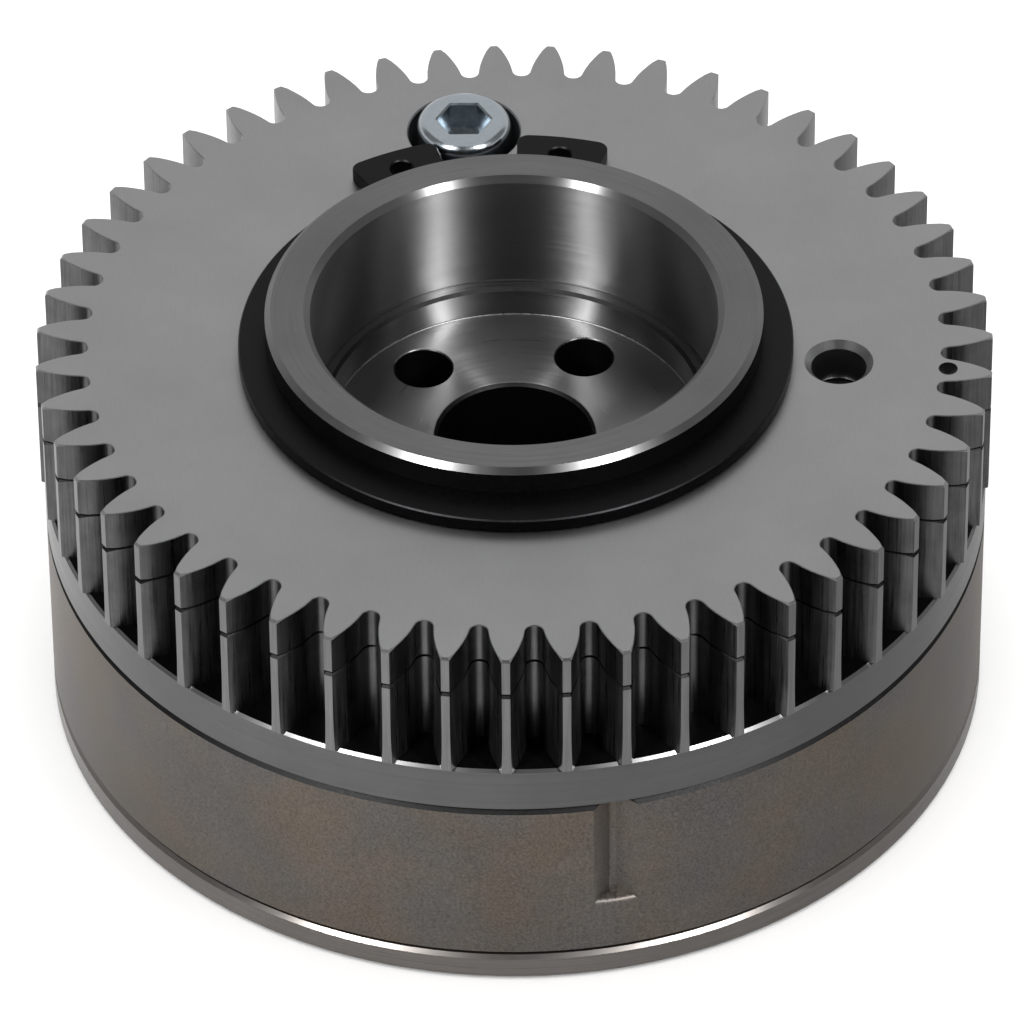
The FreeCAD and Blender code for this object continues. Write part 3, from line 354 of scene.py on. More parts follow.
class Shell:
    """Surface of one piece, made of loops of points, walls between them and faces that fill them."""

    def __init__(self):
        self.bm = bmesh.new()

    def loop(self, points):
        return [self.bm.verts.new(point) for point in points]

    def circle(self, radius, z, at=(0.0, 0.0), steps=ROUND):
        points = []
        for step in range(steps):
            angle = 2 * math.pi * step / steps
            points.append((at[0] + radius * math.cos(angle), at[1] + radius * math.sin(angle), z))
        return self.loop(points)

    def wall(self, first, second, closed=True):
        """Quads between two loops with as many points each."""
        for step in range(len(first) if closed else len(first) - 1):
            after = (step + 1) % len(first)
            self.bm.faces.new((first[step], first[after], second[after], second[step]))

    def tube(self, profile, at=(0.0, 0.0), steps=ROUND):
        """Wall along a profile of (radius, height) round a point; gives its first and last loops."""
        loops = [self.circle(radius, z, at, steps) for radius, z in profile]
        for lower, upper in zip(loops, loops[1:]):
            self.wall(lower, upper)
        return loops[0], loops[-1]

    def fill(self, *loops):
        """Flat face inside the first loop, with the other loops as holes in it."""
        edges = []
        for loop in loops:
            for step, vertex in enumerate(loop):
                pair = (vertex, loop[(step + 1) % len(loop)])
                edges.append(self.bm.edges.get(pair) or self.bm.edges.new(pair))
        bmesh.ops.triangle_fill(self.bm, use_beauty=True, use_dissolve=False, edges=edges)

    def peak(self, loop, point):
        """Faces from a loop to one point."""
        middle = self.bm.verts.new(point)
        for step, vertex in enumerate(loop):
            self.bm.faces.new((vertex, loop[(step + 1) % len(loop)], middle))

    def blind_hole(self, radius, mouth_z, depth, at):
        """Round hole with a flat end; gives the loop of its mouth."""
        mouth, end = self.tube([(radius, mouth_z), (radius, mouth_z + depth)], at, SMALL_ROUND)
        self.fill(end)
        return mouth

    def edged_hole(self, radius, edge, low_z, high_z, at=(0.0, 0.0), steps=ROUND):
        """Through hole with chamfered mouths; gives the loops of its lower and upper mouth."""
        return self.tube([
            (radius + edge, low_z), (radius, low_z + edge), (radius, high_z - edge), (radius + edge, high_z),
        ], at, steps)

    def seat(self, node, play, mouth_z, end_z):
        """Blind hole round a pin, dowel or bush; gives the loop of its mouth."""
        low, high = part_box(node)
        return self.blind_hole((high.x - low.x) / 2 + play, mouth_z, end_z - mouth_z, ((low + high) / 2).xy)

    def hexagon(self, width, z, at):
        """Loop of a key socket's hexagon."""
        corner = width / 2 / math.cos(math.pi / 6)
        points = [polar(corner, step * math.pi / 3) for step in range(6)]
        return self.loop([(point.x + at[0], point.y + at[1], z) for point in points])

    def socket(self, rim, at, mouth_z, way, width, edge, depth, cone):
        """Key socket in the flat face inside a rim; its way is 1 for upward and -1 for downward."""
        mouth, neck, floor = [
            self.hexagon(across, mouth_z + way * deep, at)
            for across, deep in ((width + 2 * edge, 0.0), (width, edge), (width, depth))]
        self.fill(rim, mouth)
        self.wall(mouth, neck)
        self.wall(neck, floor)
        self.peak(floor, (*at, mouth_z + way * (depth + cone)))

    def mesh(self, name, names, choose=None):
        """Welds the surface, turns its faces outward, and gives it sharp edges and its finishes by name."""
        bmesh.ops.remove_doubles(self.bm, verts=self.bm.verts, dist=WELD)
        bmesh.ops.dissolve_degenerate(self.bm, edges=self.bm.edges, dist=WELD / 2)
        bmesh.ops.recalc_face_normals(self.bm, faces=self.bm.faces)
        self.bm.normal_update()
        for face in self.bm.faces:
            face.smooth = True
            face.material_index = choose(face) if choose else 0
        made = mesh_of(self.bm, name)
        made.set_sharp_from_angle(angle=SHARP)
        looks = finishes()
        for finish in names:
            made.materials.append(looks[finish])
        return made


def piece(name, mesh, body, slot, *nodes):
    """Links a finished mesh as a piece that rides a body and stands for its nodes."""
    made = linked(name, mesh)
    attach(made, body)
    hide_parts(*nodes)


def merged_copy(node, names, choose=None, rounds=()):
    """The node's own shape, welded; each of rounds, as (test, size), rounds the edges whose ends pass."""
    source = frame["nodes"][node].data.copy()
    kept = source.attributes.get("custom_normal")
    if kept:
        source.attributes.remove(kept)
    shell = Shell()
    shell.bm.from_mesh(source)
    bpy.data.meshes.remove(source)
    bmesh.ops.remove_doubles(shell.bm, verts=shell.bm.verts, dist=WELD)
    for picked, rounding in rounds:
        ends = {vertex for vertex in shell.bm.verts if picked(vertex.co)}
        edges = [edge for edge in shell.bm.edges
                 if ends.issuperset(edge.verts) and edge.calc_face_angle(0.0) > SHARP]
        bmesh.ops.bevel(shell.bm, geom=edges, offset=rounding, segments=4, profile=0.5, affect="EDGES")
    return shell.mesh(f"{node}_welded", names, choose)


def add(tree, kind, inputs=None, **settings):
    """Adds a node with its settings, values and links; a link from a node comes from its first output."""
    node = tree.nodes.new(kind)
    for name, setting in settings.items():
        setattr(node, name, setting)
    for socket, source in (inputs or {}).items():
        if isinstance(source, bpy.types.Node):
            source = source.outputs[0]
        if isinstance(source, bpy.types.NodeSocket):
            tree.links.new(source, node.inputs[socket])
        else:
            node.inputs[socket].default_value = source
    return node


def copies_tree():
    """Geometry Nodes tree that repeats an object's own mesh about the axis."""
    tree = bpy.data.node_groups.new("Copies about the axis", "GeometryNodeTree")
    tree.is_modifier = True
    for name, kind in (
        ("Geometry", "NodeSocketGeometry"),
        ("Count", "NodeSocketInt"),
        ("First Angle", "NodeSocketFloat"),
        ("Left Out", "NodeSocketInt"),
        ("Material", "NodeSocketMaterial"),
    ):
        tree.interface.new_socket(name, in_out="INPUT", socket_type=kind)
    tree.interface.new_socket("Geometry", in_out="OUTPUT", socket_type="NodeSocketGeometry")
    given = add(tree, "NodeGroupInput").outputs
    index = add(tree, "GeometryNodeInputIndex")
    points = add(tree, "GeometryNodePoints", {"Count": given["Count"]})
    kept = add(tree, "FunctionNodeCompare", {2: index, 3: given["Left Out"]},
               data_type="INT", operation="NOT_EQUAL")
    step = add(tree, "ShaderNodeMath", {0: 2 * math.pi, 1: given["Count"]}, operation="DIVIDE")
    angle = add(tree, "ShaderNodeMath", {0: index, 1: step, 2: given["First Angle"]},
                operation="MULTIPLY_ADD")
    spin = add(tree, "ShaderNodeCombineXYZ", {"Z": angle})
    copies = add(tree, "GeometryNodeInstanceOnPoints", {
        "Points": points, "Selection": kept, "Instance": given["Geometry"], "Rotation": spin})
    real = add(tree, "GeometryNodeRealizeInstances", {"Geometry": copies})
    painted = add(tree, "GeometryNodeSetMaterial", {"Geometry": real, "Material": given["Material"]})
    add(tree, "NodeGroupOutput", {"Geometry": painted})
    return tree


def repeated(mesh, finish, count, first_angle, left_out=-1):
    """Plain mesh of the copies that the tree makes of one mesh, all with one finish."""
    pattern = linked("pattern", mesh)
    modifier = pattern.modifiers.new("Copies", "NODES")
    modifier.node_group = copies_tree()
    sockets = {
        item.name: item.identifier
        for item in modifier.node_group.interface.items_tree
        if item.in_out == "INPUT"
    }
    values = {
        "Count": count, "First Angle": first_angle, "Left Out": left_out, "Material": finishes()[finish]}
    for name, given in values.items():
        modifier[sockets[name]] = given
    bpy.context.view_layer.update()
    evaluated = pattern.evaluated_get(bpy.context.evaluated_depsgraph_get())
    made = bpy.data.meshes.new_from_object(evaluated)
    pattern.modifiers.remove(modifier)
    bpy.data.objects.remove(pattern)
    return made


def involute(angle):
    return math.tan(angle) - angle


def tooth_outline(teeth, inset=0.0, tip_inset=0.0, swell=0.0):
    """Radius, angle and whether it is on the tip, for one pitch's points from gap to gap."""
    half_pitch = math.pi / teeth.count
    tip = pitch_radius(teeth) + teeth.addendum
    root = pitch_radius(teeth) - teeth.dedendum
    low = root + teeth.root_round
    base = pitch_radius(teeth) * math.cos(teeth.pressure)

    def half_angle(radius):
        at_radius = math.acos(min(1.0, base / radius))
        thick = math.pi / 2 / teeth.count + involute(teeth.pressure) - involute(at_radius)
        return thick + (swell - inset) / radius

    foot = half_angle(low)
    across = low * math.sin(half_pitch - foot)
    deep = low * math.cos(half_pitch - foot) - root
    round_radius = (across ** 2 + deep ** 2) / (2 * deep)
    sweep = math.atan2(across, round_radius - deep)
    side = []
    for step in range(ROOT_STEPS):
        angle = sweep * step / ROOT_STEPS
        along = root + round_radius - round_radius * math.cos(angle)
        off = round_radius * math.sin(angle)
        side.append((math.hypot(along, off) - inset, half_pitch - math.atan2(off, along), False))
    for step in range(FLANK_STEPS + 1):
        radius = low + (tip - low) * step / FLANK_STEPS
        at_tip = step == FLANK_STEPS
        fall = tip_inset if at_tip else inset * max(0.0, 1 - step / 2)
        side.append((radius - fall, half_angle(radius), at_tip))
    shown_tip = tip - tip_inset
    middle = [(shown_tip, side[-1][1] * share, True) for share in (-0.5, 0.0, 0.5)]
    rising = [(radius, -angle, at_tip) for radius, angle, at_tip in side]
    return rising + middle + side[::-1]


def join_angles(teeth):
    """Angles of one pitch's points on the join circle, from gap to gap."""
    return [angle for radius, angle, at_tip in tooth_outline(teeth)]


def join_loop(shell, teeth, z):
    """The whole join circle, with the points that the teeth have on it."""
    points = []
    for index in range(teeth.count):
        start = teeth.phase + index * 2 * math.pi / teeth.count
        points.extend(polar(teeth.join, start + angle, z) for angle in join_angles(teeth)[:-1])
    return shell.loop(points)


def one_tooth(shell, teeth, low_z, high_z, swollen=(), dimple=None):
    """One pitch of a toothed rim, open at its sides and at the join circle."""
    def level(z, up, inset, swell=0.0):
        outline = tooth_outline(teeth, teeth.edge_chamfer * inset, teeth.tip_chamfer * inset, swell)
        points = []
        for radius, angle, at_tip in outline:
            chamfer = (teeth.tip_chamfer if at_tip else teeth.edge_chamfer) * up
            points.append(polar(radius, angle, z + chamfer))
        return shell.loop(points)

    levels = [level(low_z + height, 0, 0, swell) for height, swell in swollen]
    levels = levels or [level(low_z, 0, 1), level(low_z, 1, 0)]
    levels += [level(high_z, -1, 0), level(high_z, 0, 1)]
    for lower, upper in zip(levels, levels[1:]):
        shell.wall(lower, upper, closed=False)
    angles = join_angles(teeth)
    inside = [shell.loop([polar(teeth.join, angle, z) for angle in angles]) for z in (low_z, high_z)]
    shell.wall(inside[0], levels[0], closed=False)
    if dimple:
        centre, radius, depth = dimple
        mouth = shell.circle(radius, high_z, (centre.x, centre.y), SMALL_ROUND)
        shell.fill(levels[-1] + inside[1][::-1], mouth)
        shell.peak(mouth, (centre.x, centre.y, high_z - depth))
    else:
        shell.wall(levels[-1], inside[1], closed=False)


def toothed_rim(shell, teeth, low_z, high_z, finish, swollen=(), dimple=None):
    """Adds a whole toothed rim; a dimple, as (radius, angle, size, depth), marks the tooth that it is on."""
    def tooth_mesh(name, mark=None):
        tooth = Shell()
        one_tooth(tooth, teeth, low_z, high_z, swollen, mark)
        return mesh_of(tooth.bm, name)

    marked = -1
    if dimple:
        at, angle, radius, depth = dimple
        step = 2 * math.pi / teeth.count
        marked = round((angle - teeth.phase) / step)
        turned = teeth.phase + marked * step
        special = tooth_mesh("marked_tooth", (polar(at, angle - turned), radius, depth))
        special.transform(Matrix.Rotation(turned, 4, "Z"))
        shell.bm.from_mesh(special)
    shell.bm.from_mesh(repeated(tooth_mesh("tooth"), finish, teeth.count, teeth.phase, marked))


def flat(face):
    return abs(face.normal.z) > FACING


def among_teeth(centre, teeth):
    """Whether a face with this middle lies beyond the bottoms of the gaps."""
    return centre.xy.length > pitch_radius(teeth) - teeth.dedendum - ROOT_MARGIN


def on_tip(face, teeth):
    """Whether a face looks outward at the tip of a tooth."""
    centre = face.calc_center_median().xy
    outward = face.normal.xy.dot(centre.normalized()) > FACING
    return outward and centre.length > pitch_radius(teeth) + teeth.addendum / 2


# Finishes

def opaque(shade):
    return (*shade, 1.0)


def empty_tree(owner):
    """Node tree of a material or a world, emptied."""
    owner.use_nodes = True
    owner.node_tree.nodes.clear()
    return owner.node_tree


def turning_marks(tree, place, spacing):
    """Coordinates in which a pattern lies in rings about the axis."""
    x, y, z = add(tree, "ShaderNodeSeparateXYZ", {0: place}).outputs
    level = add(tree, "ShaderNodeCombineXYZ", {0: x, 1: y})
    radius = add(tree, "ShaderNodeVectorMath", {0: level}, operation="LENGTH").outputs["Value"]
    heading = add(tree, "ShaderNodeVectorMath", {0: level}, operation="NORMALIZE")
    rise = add(tree, "ShaderNodeMath", {0: radius, 1: z}, operation="ADD")
    rings = add(tree, "ShaderNodeMath", {0: rise, 1: 1 / spacing}, operation="MULTIPLY")
    lift = add(tree, "ShaderNodeCombineXYZ", {2: rings})
    wide = add(tree, "ShaderNodeVectorMath", {0: heading, 3: RING_DRIFT}, operation="SCALE")
    return add(tree, "ShaderNodeVectorMath", {0: wide, 1: lift}, operation="ADD")


def axial_marks(tree, place, spacing):
    """Coordinates in which a pattern runs along the axis."""
    squeeze = (1 / spacing, 1 / spacing, 1 / (AXIAL_STRETCH * spacing))
    return add(tree, "ShaderNodeVectorMath", {0: place, 1: squeeze}, operation="MULTIPLY")


def crossed_marks(tree, place, spacing):
    """Coordinates for short scratches that lie one way over a flat face."""
    squeeze = (1 / spacing, 1 / (SCRATCH_STRETCH * spacing), 1 / spacing)
    return add(tree, "ShaderNodeVectorMath", {0: place, 1: squeeze}, operation="MULTIPLY")


def grains(tree, place, spacing):
    """Coordinates in which a pattern is as wide as it is long."""
    return add(tree, "ShaderNodeVectorMath", {0: place, 3: 1 / spacing}, operation="SCALE")


def metal(name, base, direction, spacing, depth, contrast, smooth, rough, anisotropy=0.0,
          clouds=0.012, cloud_contrast=0.08, tint=None, metallic=1.0):
    """Metal whose tone, roughness and relief follow one pattern, with wide soft clouds over it."""
    made = bpy.data.materials.new(name)
    tree = empty_tree(made)
    place = add(tree, "ShaderNodeTexCoord").outputs["Object"]
    marks = add(tree, "ShaderNodeTexNoise",
                {"Vector": direction(tree, place, spacing), "Scale": 1.0, "Detail": 4.0, "Roughness": 0.65})
    wide = add(tree, "ShaderNodeTexNoise",
               {"Vector": place, "Scale": 1 / clouds, "Detail": 5.0, "Roughness": 0.6})
    fine = add(tree, "ShaderNodeMapRange", {
        "Value": marks, "From Min": 0.25, "From Max": 0.75, "To Min": 1 - contrast, "To Max": 1 + contrast})
    soft = add(tree, "ShaderNodeMapRange", {
        "Value": wide, "From Min": 0.3, "From Max": 0.7,
        "To Min": 1 - cloud_contrast, "To Max": 1 + cloud_contrast})
    tone = add(tree, "ShaderNodeMath", {0: fine, 1: soft}, operation="MULTIPLY")
    shade = tuple(base)
    if tint:
        spots = add(tree, "ShaderNodeTexNoise",
                    {"Vector": place, "Scale": 1 / TINT_SIZE, "Detail": 4.0, "Roughness": 0.55})
        share = add(tree, "ShaderNodeMapRange", {"Value": spots, "From Min": 0.38, "From Max": 0.62})
        shade = add(tree, "ShaderNodeMix", {0: share, 6: opaque(tint[0]), 7: opaque(tint[1])},
                    data_type="RGBA").outputs[2]
    sockets = {
        "Base Color": add(tree, "ShaderNodeVectorMath", {0: shade, 3: tone}, operation="SCALE"),
        "Metallic": metallic,
        "Roughness": add(tree, "ShaderNodeMapRange", {
            "Value": marks, "From Min": 0.3, "From Max": 0.7, "To Min": smooth, "To Max": rough}),
        "Normal": add(tree, "ShaderNodeBump", {"Strength": 1.0, "Distance": depth, "Height": marks}),
    }
    if anisotropy:
        # The marks run round the axis, so light spreads across them: a quarter turn from the tangent
        x, y = add(tree, "ShaderNodeSeparateXYZ", {0: place}).outputs[:2]
        back = add(tree, "ShaderNodeMath", {0: y, 1: -1.0}, operation="MULTIPLY")
        round_axis = add(tree, "ShaderNodeCombineXYZ", {0: back, 1: x})
        sockets["Anisotropic"] = anisotropy
        sockets["Anisotropic Rotation"] = 0.25
        sockets["Tangent"] = add(tree, "ShaderNodeVectorTransform", {0: round_axis},
                                 vector_type="VECTOR", convert_from="OBJECT", convert_to="WORLD")
    shader = add(tree, "ShaderNodeBsdfPrincipled", sockets)
    add(tree, "ShaderNodeOutputMaterial", {"Surface": shader})
    made.diffuse_color = opaque(base)


def finishes():
    """Every finish of the part, made once."""
    look = bpy.context.scene.phaser.finish
    if "ground steel" in bpy.data.materials:
        return bpy.data.materials
    # Hardened steel, face ground: an even matte grey with fine short scratches
    metal("ground steel", look.ground, crossed_marks, spacing=0.00012, depth=0.0000014,
          contrast=0.07, smooth=0.36, rough=0.46, cloud_contrast=0.05)
    # Steel turned on a lathe: fine rings that draw a highlight out into a streak
    metal("turned steel", look.turned, turning_marks, spacing=0.0002, depth=0.000003,
          contrast=0.1, smooth=0.26, rough=0.38, anisotropy=0.6)
    # Painted shade: the turned steel again, the same marks in a darker grey for the flange's rim
    metal("shaded turned steel", look.flange, turning_marks, spacing=0.0002, depth=0.000003,
          contrast=0.1, smooth=0.26, rough=0.38, anisotropy=0.6)
    # Steel bored and honed: smoother rings, with the light in tall stripes
    metal("honed steel", look.bored, turning_marks, spacing=0.00022, depth=0.0000004,
          contrast=0.05, smooth=0.32, rough=0.38, anisotropy=0.99)
    # Steel hobbed and ground along the teeth: streaks that run with the axis
    metal("hobbed steel", look.hobbed, axial_marks, spacing=0.00022, depth=0.000004,
          contrast=0.22, smooth=0.28, rough=0.42)
    # The same steel with deeper streaks along the flanks, in a darker grey that is partly painted shade of
    # the gaps between the teeth
    metal("hobbed flank steel", look.flank, axial_marks, spacing=0.00026, depth=0.000006,
          contrast=0.4, smooth=0.24, rough=0.4, clouds=0.004, cloud_contrast=0.2)
    # Steel sheet, turned at its edge: brighter rings under a soft sheen
    metal("turned cover steel", look.cover, turning_marks, spacing=0.00024, depth=0.000004,
          contrast=0.12, smooth=0.24, rough=0.36, anisotropy=0.5)
    # Steel powder, pressed, sintered and steam treated: brown grey, with straw and violet clouds
    metal("steam treated sintered steel", look.sintered, grains, spacing=0.00028, depth=0.000007,
          contrast=0.4, smooth=0.38, rough=0.54, clouds=0.009, cloud_contrast=0.06,
          tint=(linear("5d554d"), linear("575452")))
    # Steel faced on a lathe: rings that fan the light out from the middle
    metal("faced rotor steel", look.rotor, turning_marks, spacing=0.00026, depth=0.0000002,
          contrast=0.0, smooth=0.27, rough=0.33, anisotropy=0.96)
    # Spring steel, blackened: nearly black, with a satin sheen
    metal("black oxide", look.oxide, grains, spacing=0.0003, depth=0.000002,
          contrast=0.2, smooth=0.34, rough=0.48)
    # Painted shade: a dull black for seams, corners, holes and small chamfers, standing in for their shade
    # and keeping glints down
    metal("dark scale", look.scale, grains, spacing=0.0003, depth=0.000004,
          contrast=0.2, smooth=0.4, rough=0.55)
    # Screw steel, zinc plated: bright and slightly blue
    metal("bright zinc plate", look.zinc, grains, spacing=0.0006, depth=0.000003,
          contrast=0.06, smooth=0.16, rough=0.26)
    # Drawn spring steel: grey, smooth and plain
    metal("drawn spring steel", look.spring, axial_marks, spacing=0.0003, depth=0.000002,
          contrast=0.1, smooth=0.28, rough=0.38)
    # Filled polymer, moulded: dark, matte and even
    metal("moulded seal polymer", look.polymer, grains, spacing=0.0004, depth=0.000004,
          contrast=0.1, smooth=0.5, rough=0.62, metallic=0.0)
    return bpy.data.materials


# Pieces

class PHASER_OT_scissor(bpy.types.Operator):
    """Scissor gear: a thin toothed plate with a window, a service hole and a timing dimple"""

    bl_idname = "phaser.scissor"
    bl_label = "Scissor gear"

    def execute(self, context):
        teeth, gears = context.scene.phaser.teeth, context.scene.phaser.gears
        low_z, high_z = bottom("scissor_gear"), top("scissor_gear")
        shell = Shell()
        dimple = (gears.dimple_at, gears.service_angle, gears.dimple_radius, gears.dimple_depth)
        toothed_rim(shell, teeth, low_z, high_z, "ground steel", dimple=dimple)
        bore_low, bore_high = shell.edged_hole(
            gears.collar_radius + gears.scissor_play, gears.scissor_chamfer, low_z, high_z)
        stop = polar(gears.stop_at, gears.stop_angle).xy
        window_low, window_high = shell.edged_hole(
            gears.window_radius, gears.hole_edge, low_z, high_z, stop, 2 * SMALL_ROUND)
        service = polar(gears.service_at, gears.service_angle).xy
        hole, sink = gears.service_radius, gears.service_sink
        hole_low, hole_high = shell.tube([
            (hole, low_z), (hole, high_z - sink), (hole + sink, high_z)], service, 2 * SMALL_ROUND)
        seat = shell.seat("moving_pin", gears.pin_play, low_z, top("moving_pin"))
        shell.fill(join_loop(shell, teeth, high_z), bore_high, window_high, hole_high)
        shell.fill(join_loop(shell, teeth, low_z), bore_low, window_low, hole_low, seat)
        mark = polar(gears.dimple_at, gears.service_angle)

        def choose(face):
            centre = face.calc_center_median()
            if flat(face):
                return 0
            # Painted shade in the timing dimple
            if (centre.xy - mark.xy).length < gears.dimple_radius:
                return 2
            if high_z - centre.z < teeth.tip_chamfer or not among_teeth(centre, teeth):
                return 0
            # Flanks and gaps take the darker flank steel, partly painted shade of the gaps
            return 3 if on_tip(face, teeth) else 1

        names = ("ground steel", "hobbed flank steel", "dark scale", "hobbed steel")
        mesh = shell.mesh("scissor_gear_ground", names, choose)
        piece("scissor_gear_ground", mesh, "scissor", "ground_steel", "scissor_gear")
        return {"FINISHED"}


class PHASER_OT_drive(bpy.types.Operator):
    """Drive gear: flange, teeth, web and bored collar"""

    bl_idname = "phaser.drive"
    bl_label = "Drive gear"

    def execute(self, context):
        sizes = context.scene.phaser
        teeth, gears = sizes.teeth, sizes.gears
        base_z = bottom("drive_gear")
        teeth_z = base_z + gears.flange_thickness
        web_z = teeth_z + gears.teeth_length
        shell = Shell()
        shares = [step / RUNOUT_STEPS for step in range(RUNOUT_STEPS + 1)]
        swollen = [
            (teeth.runout_height * share, teeth.runout_swell * (1 - share) ** 2) for share in shares]
        toothed_rim(shell, teeth, teeth_z, web_z, "hobbed steel", swollen)
        self.web(shell, teeth, gears, teeth_z, web_z)
        self.hub(shell, gears, sizes.screws, base_z, teeth_z, web_z)
        bore = gears.journal_radius + 2 * gears.journal_chamfer
        ring_z = top("retaining_ring")

        def choose(face):
            centre = face.calc_center_median()
            radius = centre.xy.length
            if centre.z > teeth_z + CLOSE and among_teeth(centre, teeth):
                # Painted shade: the teeth's top chamfers take the dark finish, which keeps their glints down
                if web_z - teeth.tip_chamfer < centre.z < web_z - CLOSE:
                    return 4
                # Flanks and gaps take the darker flank steel, partly painted shade of the gaps
                return 1 if on_tip(face, teeth) else 3
            if flat(face):
                # Painted shade on the flange's face between the teeth
                return 4 if abs(centre.z - teeth_z) < CLOSE else 0
            # Painted shade in the seam at the housing, and on the collar's wall over the ring, where it
            # reflects the black ring
            at_seam = centre.z < base_z + gears.flange_seam_chamfer
            above_ring = centre.z > ring_z and gears.collar_radius - radius < gears.collar_chamfer / 4
            if at_seam or above_ring:
                return 4
            # Painted shade: the flange's rim takes a darker copy of the turned steel
            if gears.body_radius - radius < CLOSE and centre.z < teeth_z:
                return 5
            return 2 if radius < bore else 0

        names = ("turned steel", "hobbed steel", "honed steel", "hobbed flank steel", "dark scale",
                 "shaded turned steel")
        mesh = shell.mesh("drive_gear_hobbed", names, choose)
        piece("drive_gear_hobbed", mesh, "drive", "gear_steel", "drive_gear")
        return {"FINISHED"}

    def web(self, shell, teeth, gears, teeth_z, web_z):
        """Ring between the teeth and the spring room, with the stop screw's seat and the pin hole."""
        inner_low, inner_high = shell.tube([(gears.spring_room, teeth_z), (gears.spring_room, web_z)])
        stop = polar(gears.stop_at, gears.stop_angle).xy
        seat_z = web_z + gears.seat_rise
        seat_low, seat_high = shell.tube(
            [(gears.seat_radius, web_z), (gears.seat_radius, seat_z)], stop, SMALL_ROUND)
        shell.fill(seat_high, shell.blind_hole(gears.stop_tap, seat_z, -gears.stop_tap_depth, stop))
        service = polar(gears.service_at, gears.service_angle).xy
        pin_hole = shell.blind_hole(gears.service_pin, web_z, -gears.service_pin_depth, service)
        shell.fill(join_loop(shell, teeth, web_z), inner_high, seat_low, pin_hole)
        shell.fill(join_loop(shell, teeth, teeth_z), inner_low)

    def hub(self, shell, gears, screws, base_z, teeth_z, web_z):
        """Flange and collar, with the seats under the flange and in the spring room's floor."""
        body, collar = gears.body_radius, gears.collar_radius
        shoulder = collar + gears.shoulder
        room_z = web_z - gears.spring_room_depth
        shoulder_z = bottom("scissor_gear") - gears.shoulder_drop
        ring_low, ring_high = bottom("retaining_ring"), top("retaining_ring")
        collar_z = top("drive_gear")
        groove = collar - gears.groove_depth
        rise = shell.tube([
            (body - gears.flange_seam_chamfer, base_z),
            (body, base_z + gears.flange_seam_chamfer),
            (body, teeth_z - gears.flange_top_chamfer),
            (body - gears.flange_top_chamfer, teeth_z),
            (gears.spring_room, teeth_z),
            (gears.spring_room, room_z),
        ])
        inside = shell.tube([
            (shoulder, room_z),
            (shoulder, shoulder_z),
            (collar, shoulder_z),
            (collar, ring_low - gears.groove_play),
            (groove, ring_low - gears.groove_play),
            (groove, ring_high + gears.groove_play),
            (collar, ring_high + gears.groove_play),
            (collar, collar_z - gears.collar_chamfer),
            (collar - gears.collar_chamfer, collar_z),
            (gears.journal_radius + gears.journal_chamfer, collar_z),
            (gears.journal_radius, collar_z - gears.journal_chamfer),
            (gears.journal_radius, collar_z - gears.journal_depth),
            (gears.nose_radius, collar_z - gears.journal_depth),
            (gears.nose_radius, base_z),
        ])
        anchor = shell.seat("anchor_pin", gears.pin_play, room_z, bottom("anchor_pin"))
        shell.fill(rise[1], inside[0], anchor)
        seats = []
        for node in ("lock_bush", "housing_dowel"):
            seats.append(shell.seat(node, gears.pin_play, base_z, top(node)))
        depth = top("cover_screws") + gears.tap_past - base_z
        for index in range(screws.cover_count):
            angle = screws.cover_angle + index * 2 * math.pi / screws.cover_count
            seats.append(shell.blind_hole(gears.screw_tap, base_z, depth, polar(screws.cover_at, angle).xy))
        shell.fill(rise[0], inside[1], *seats)


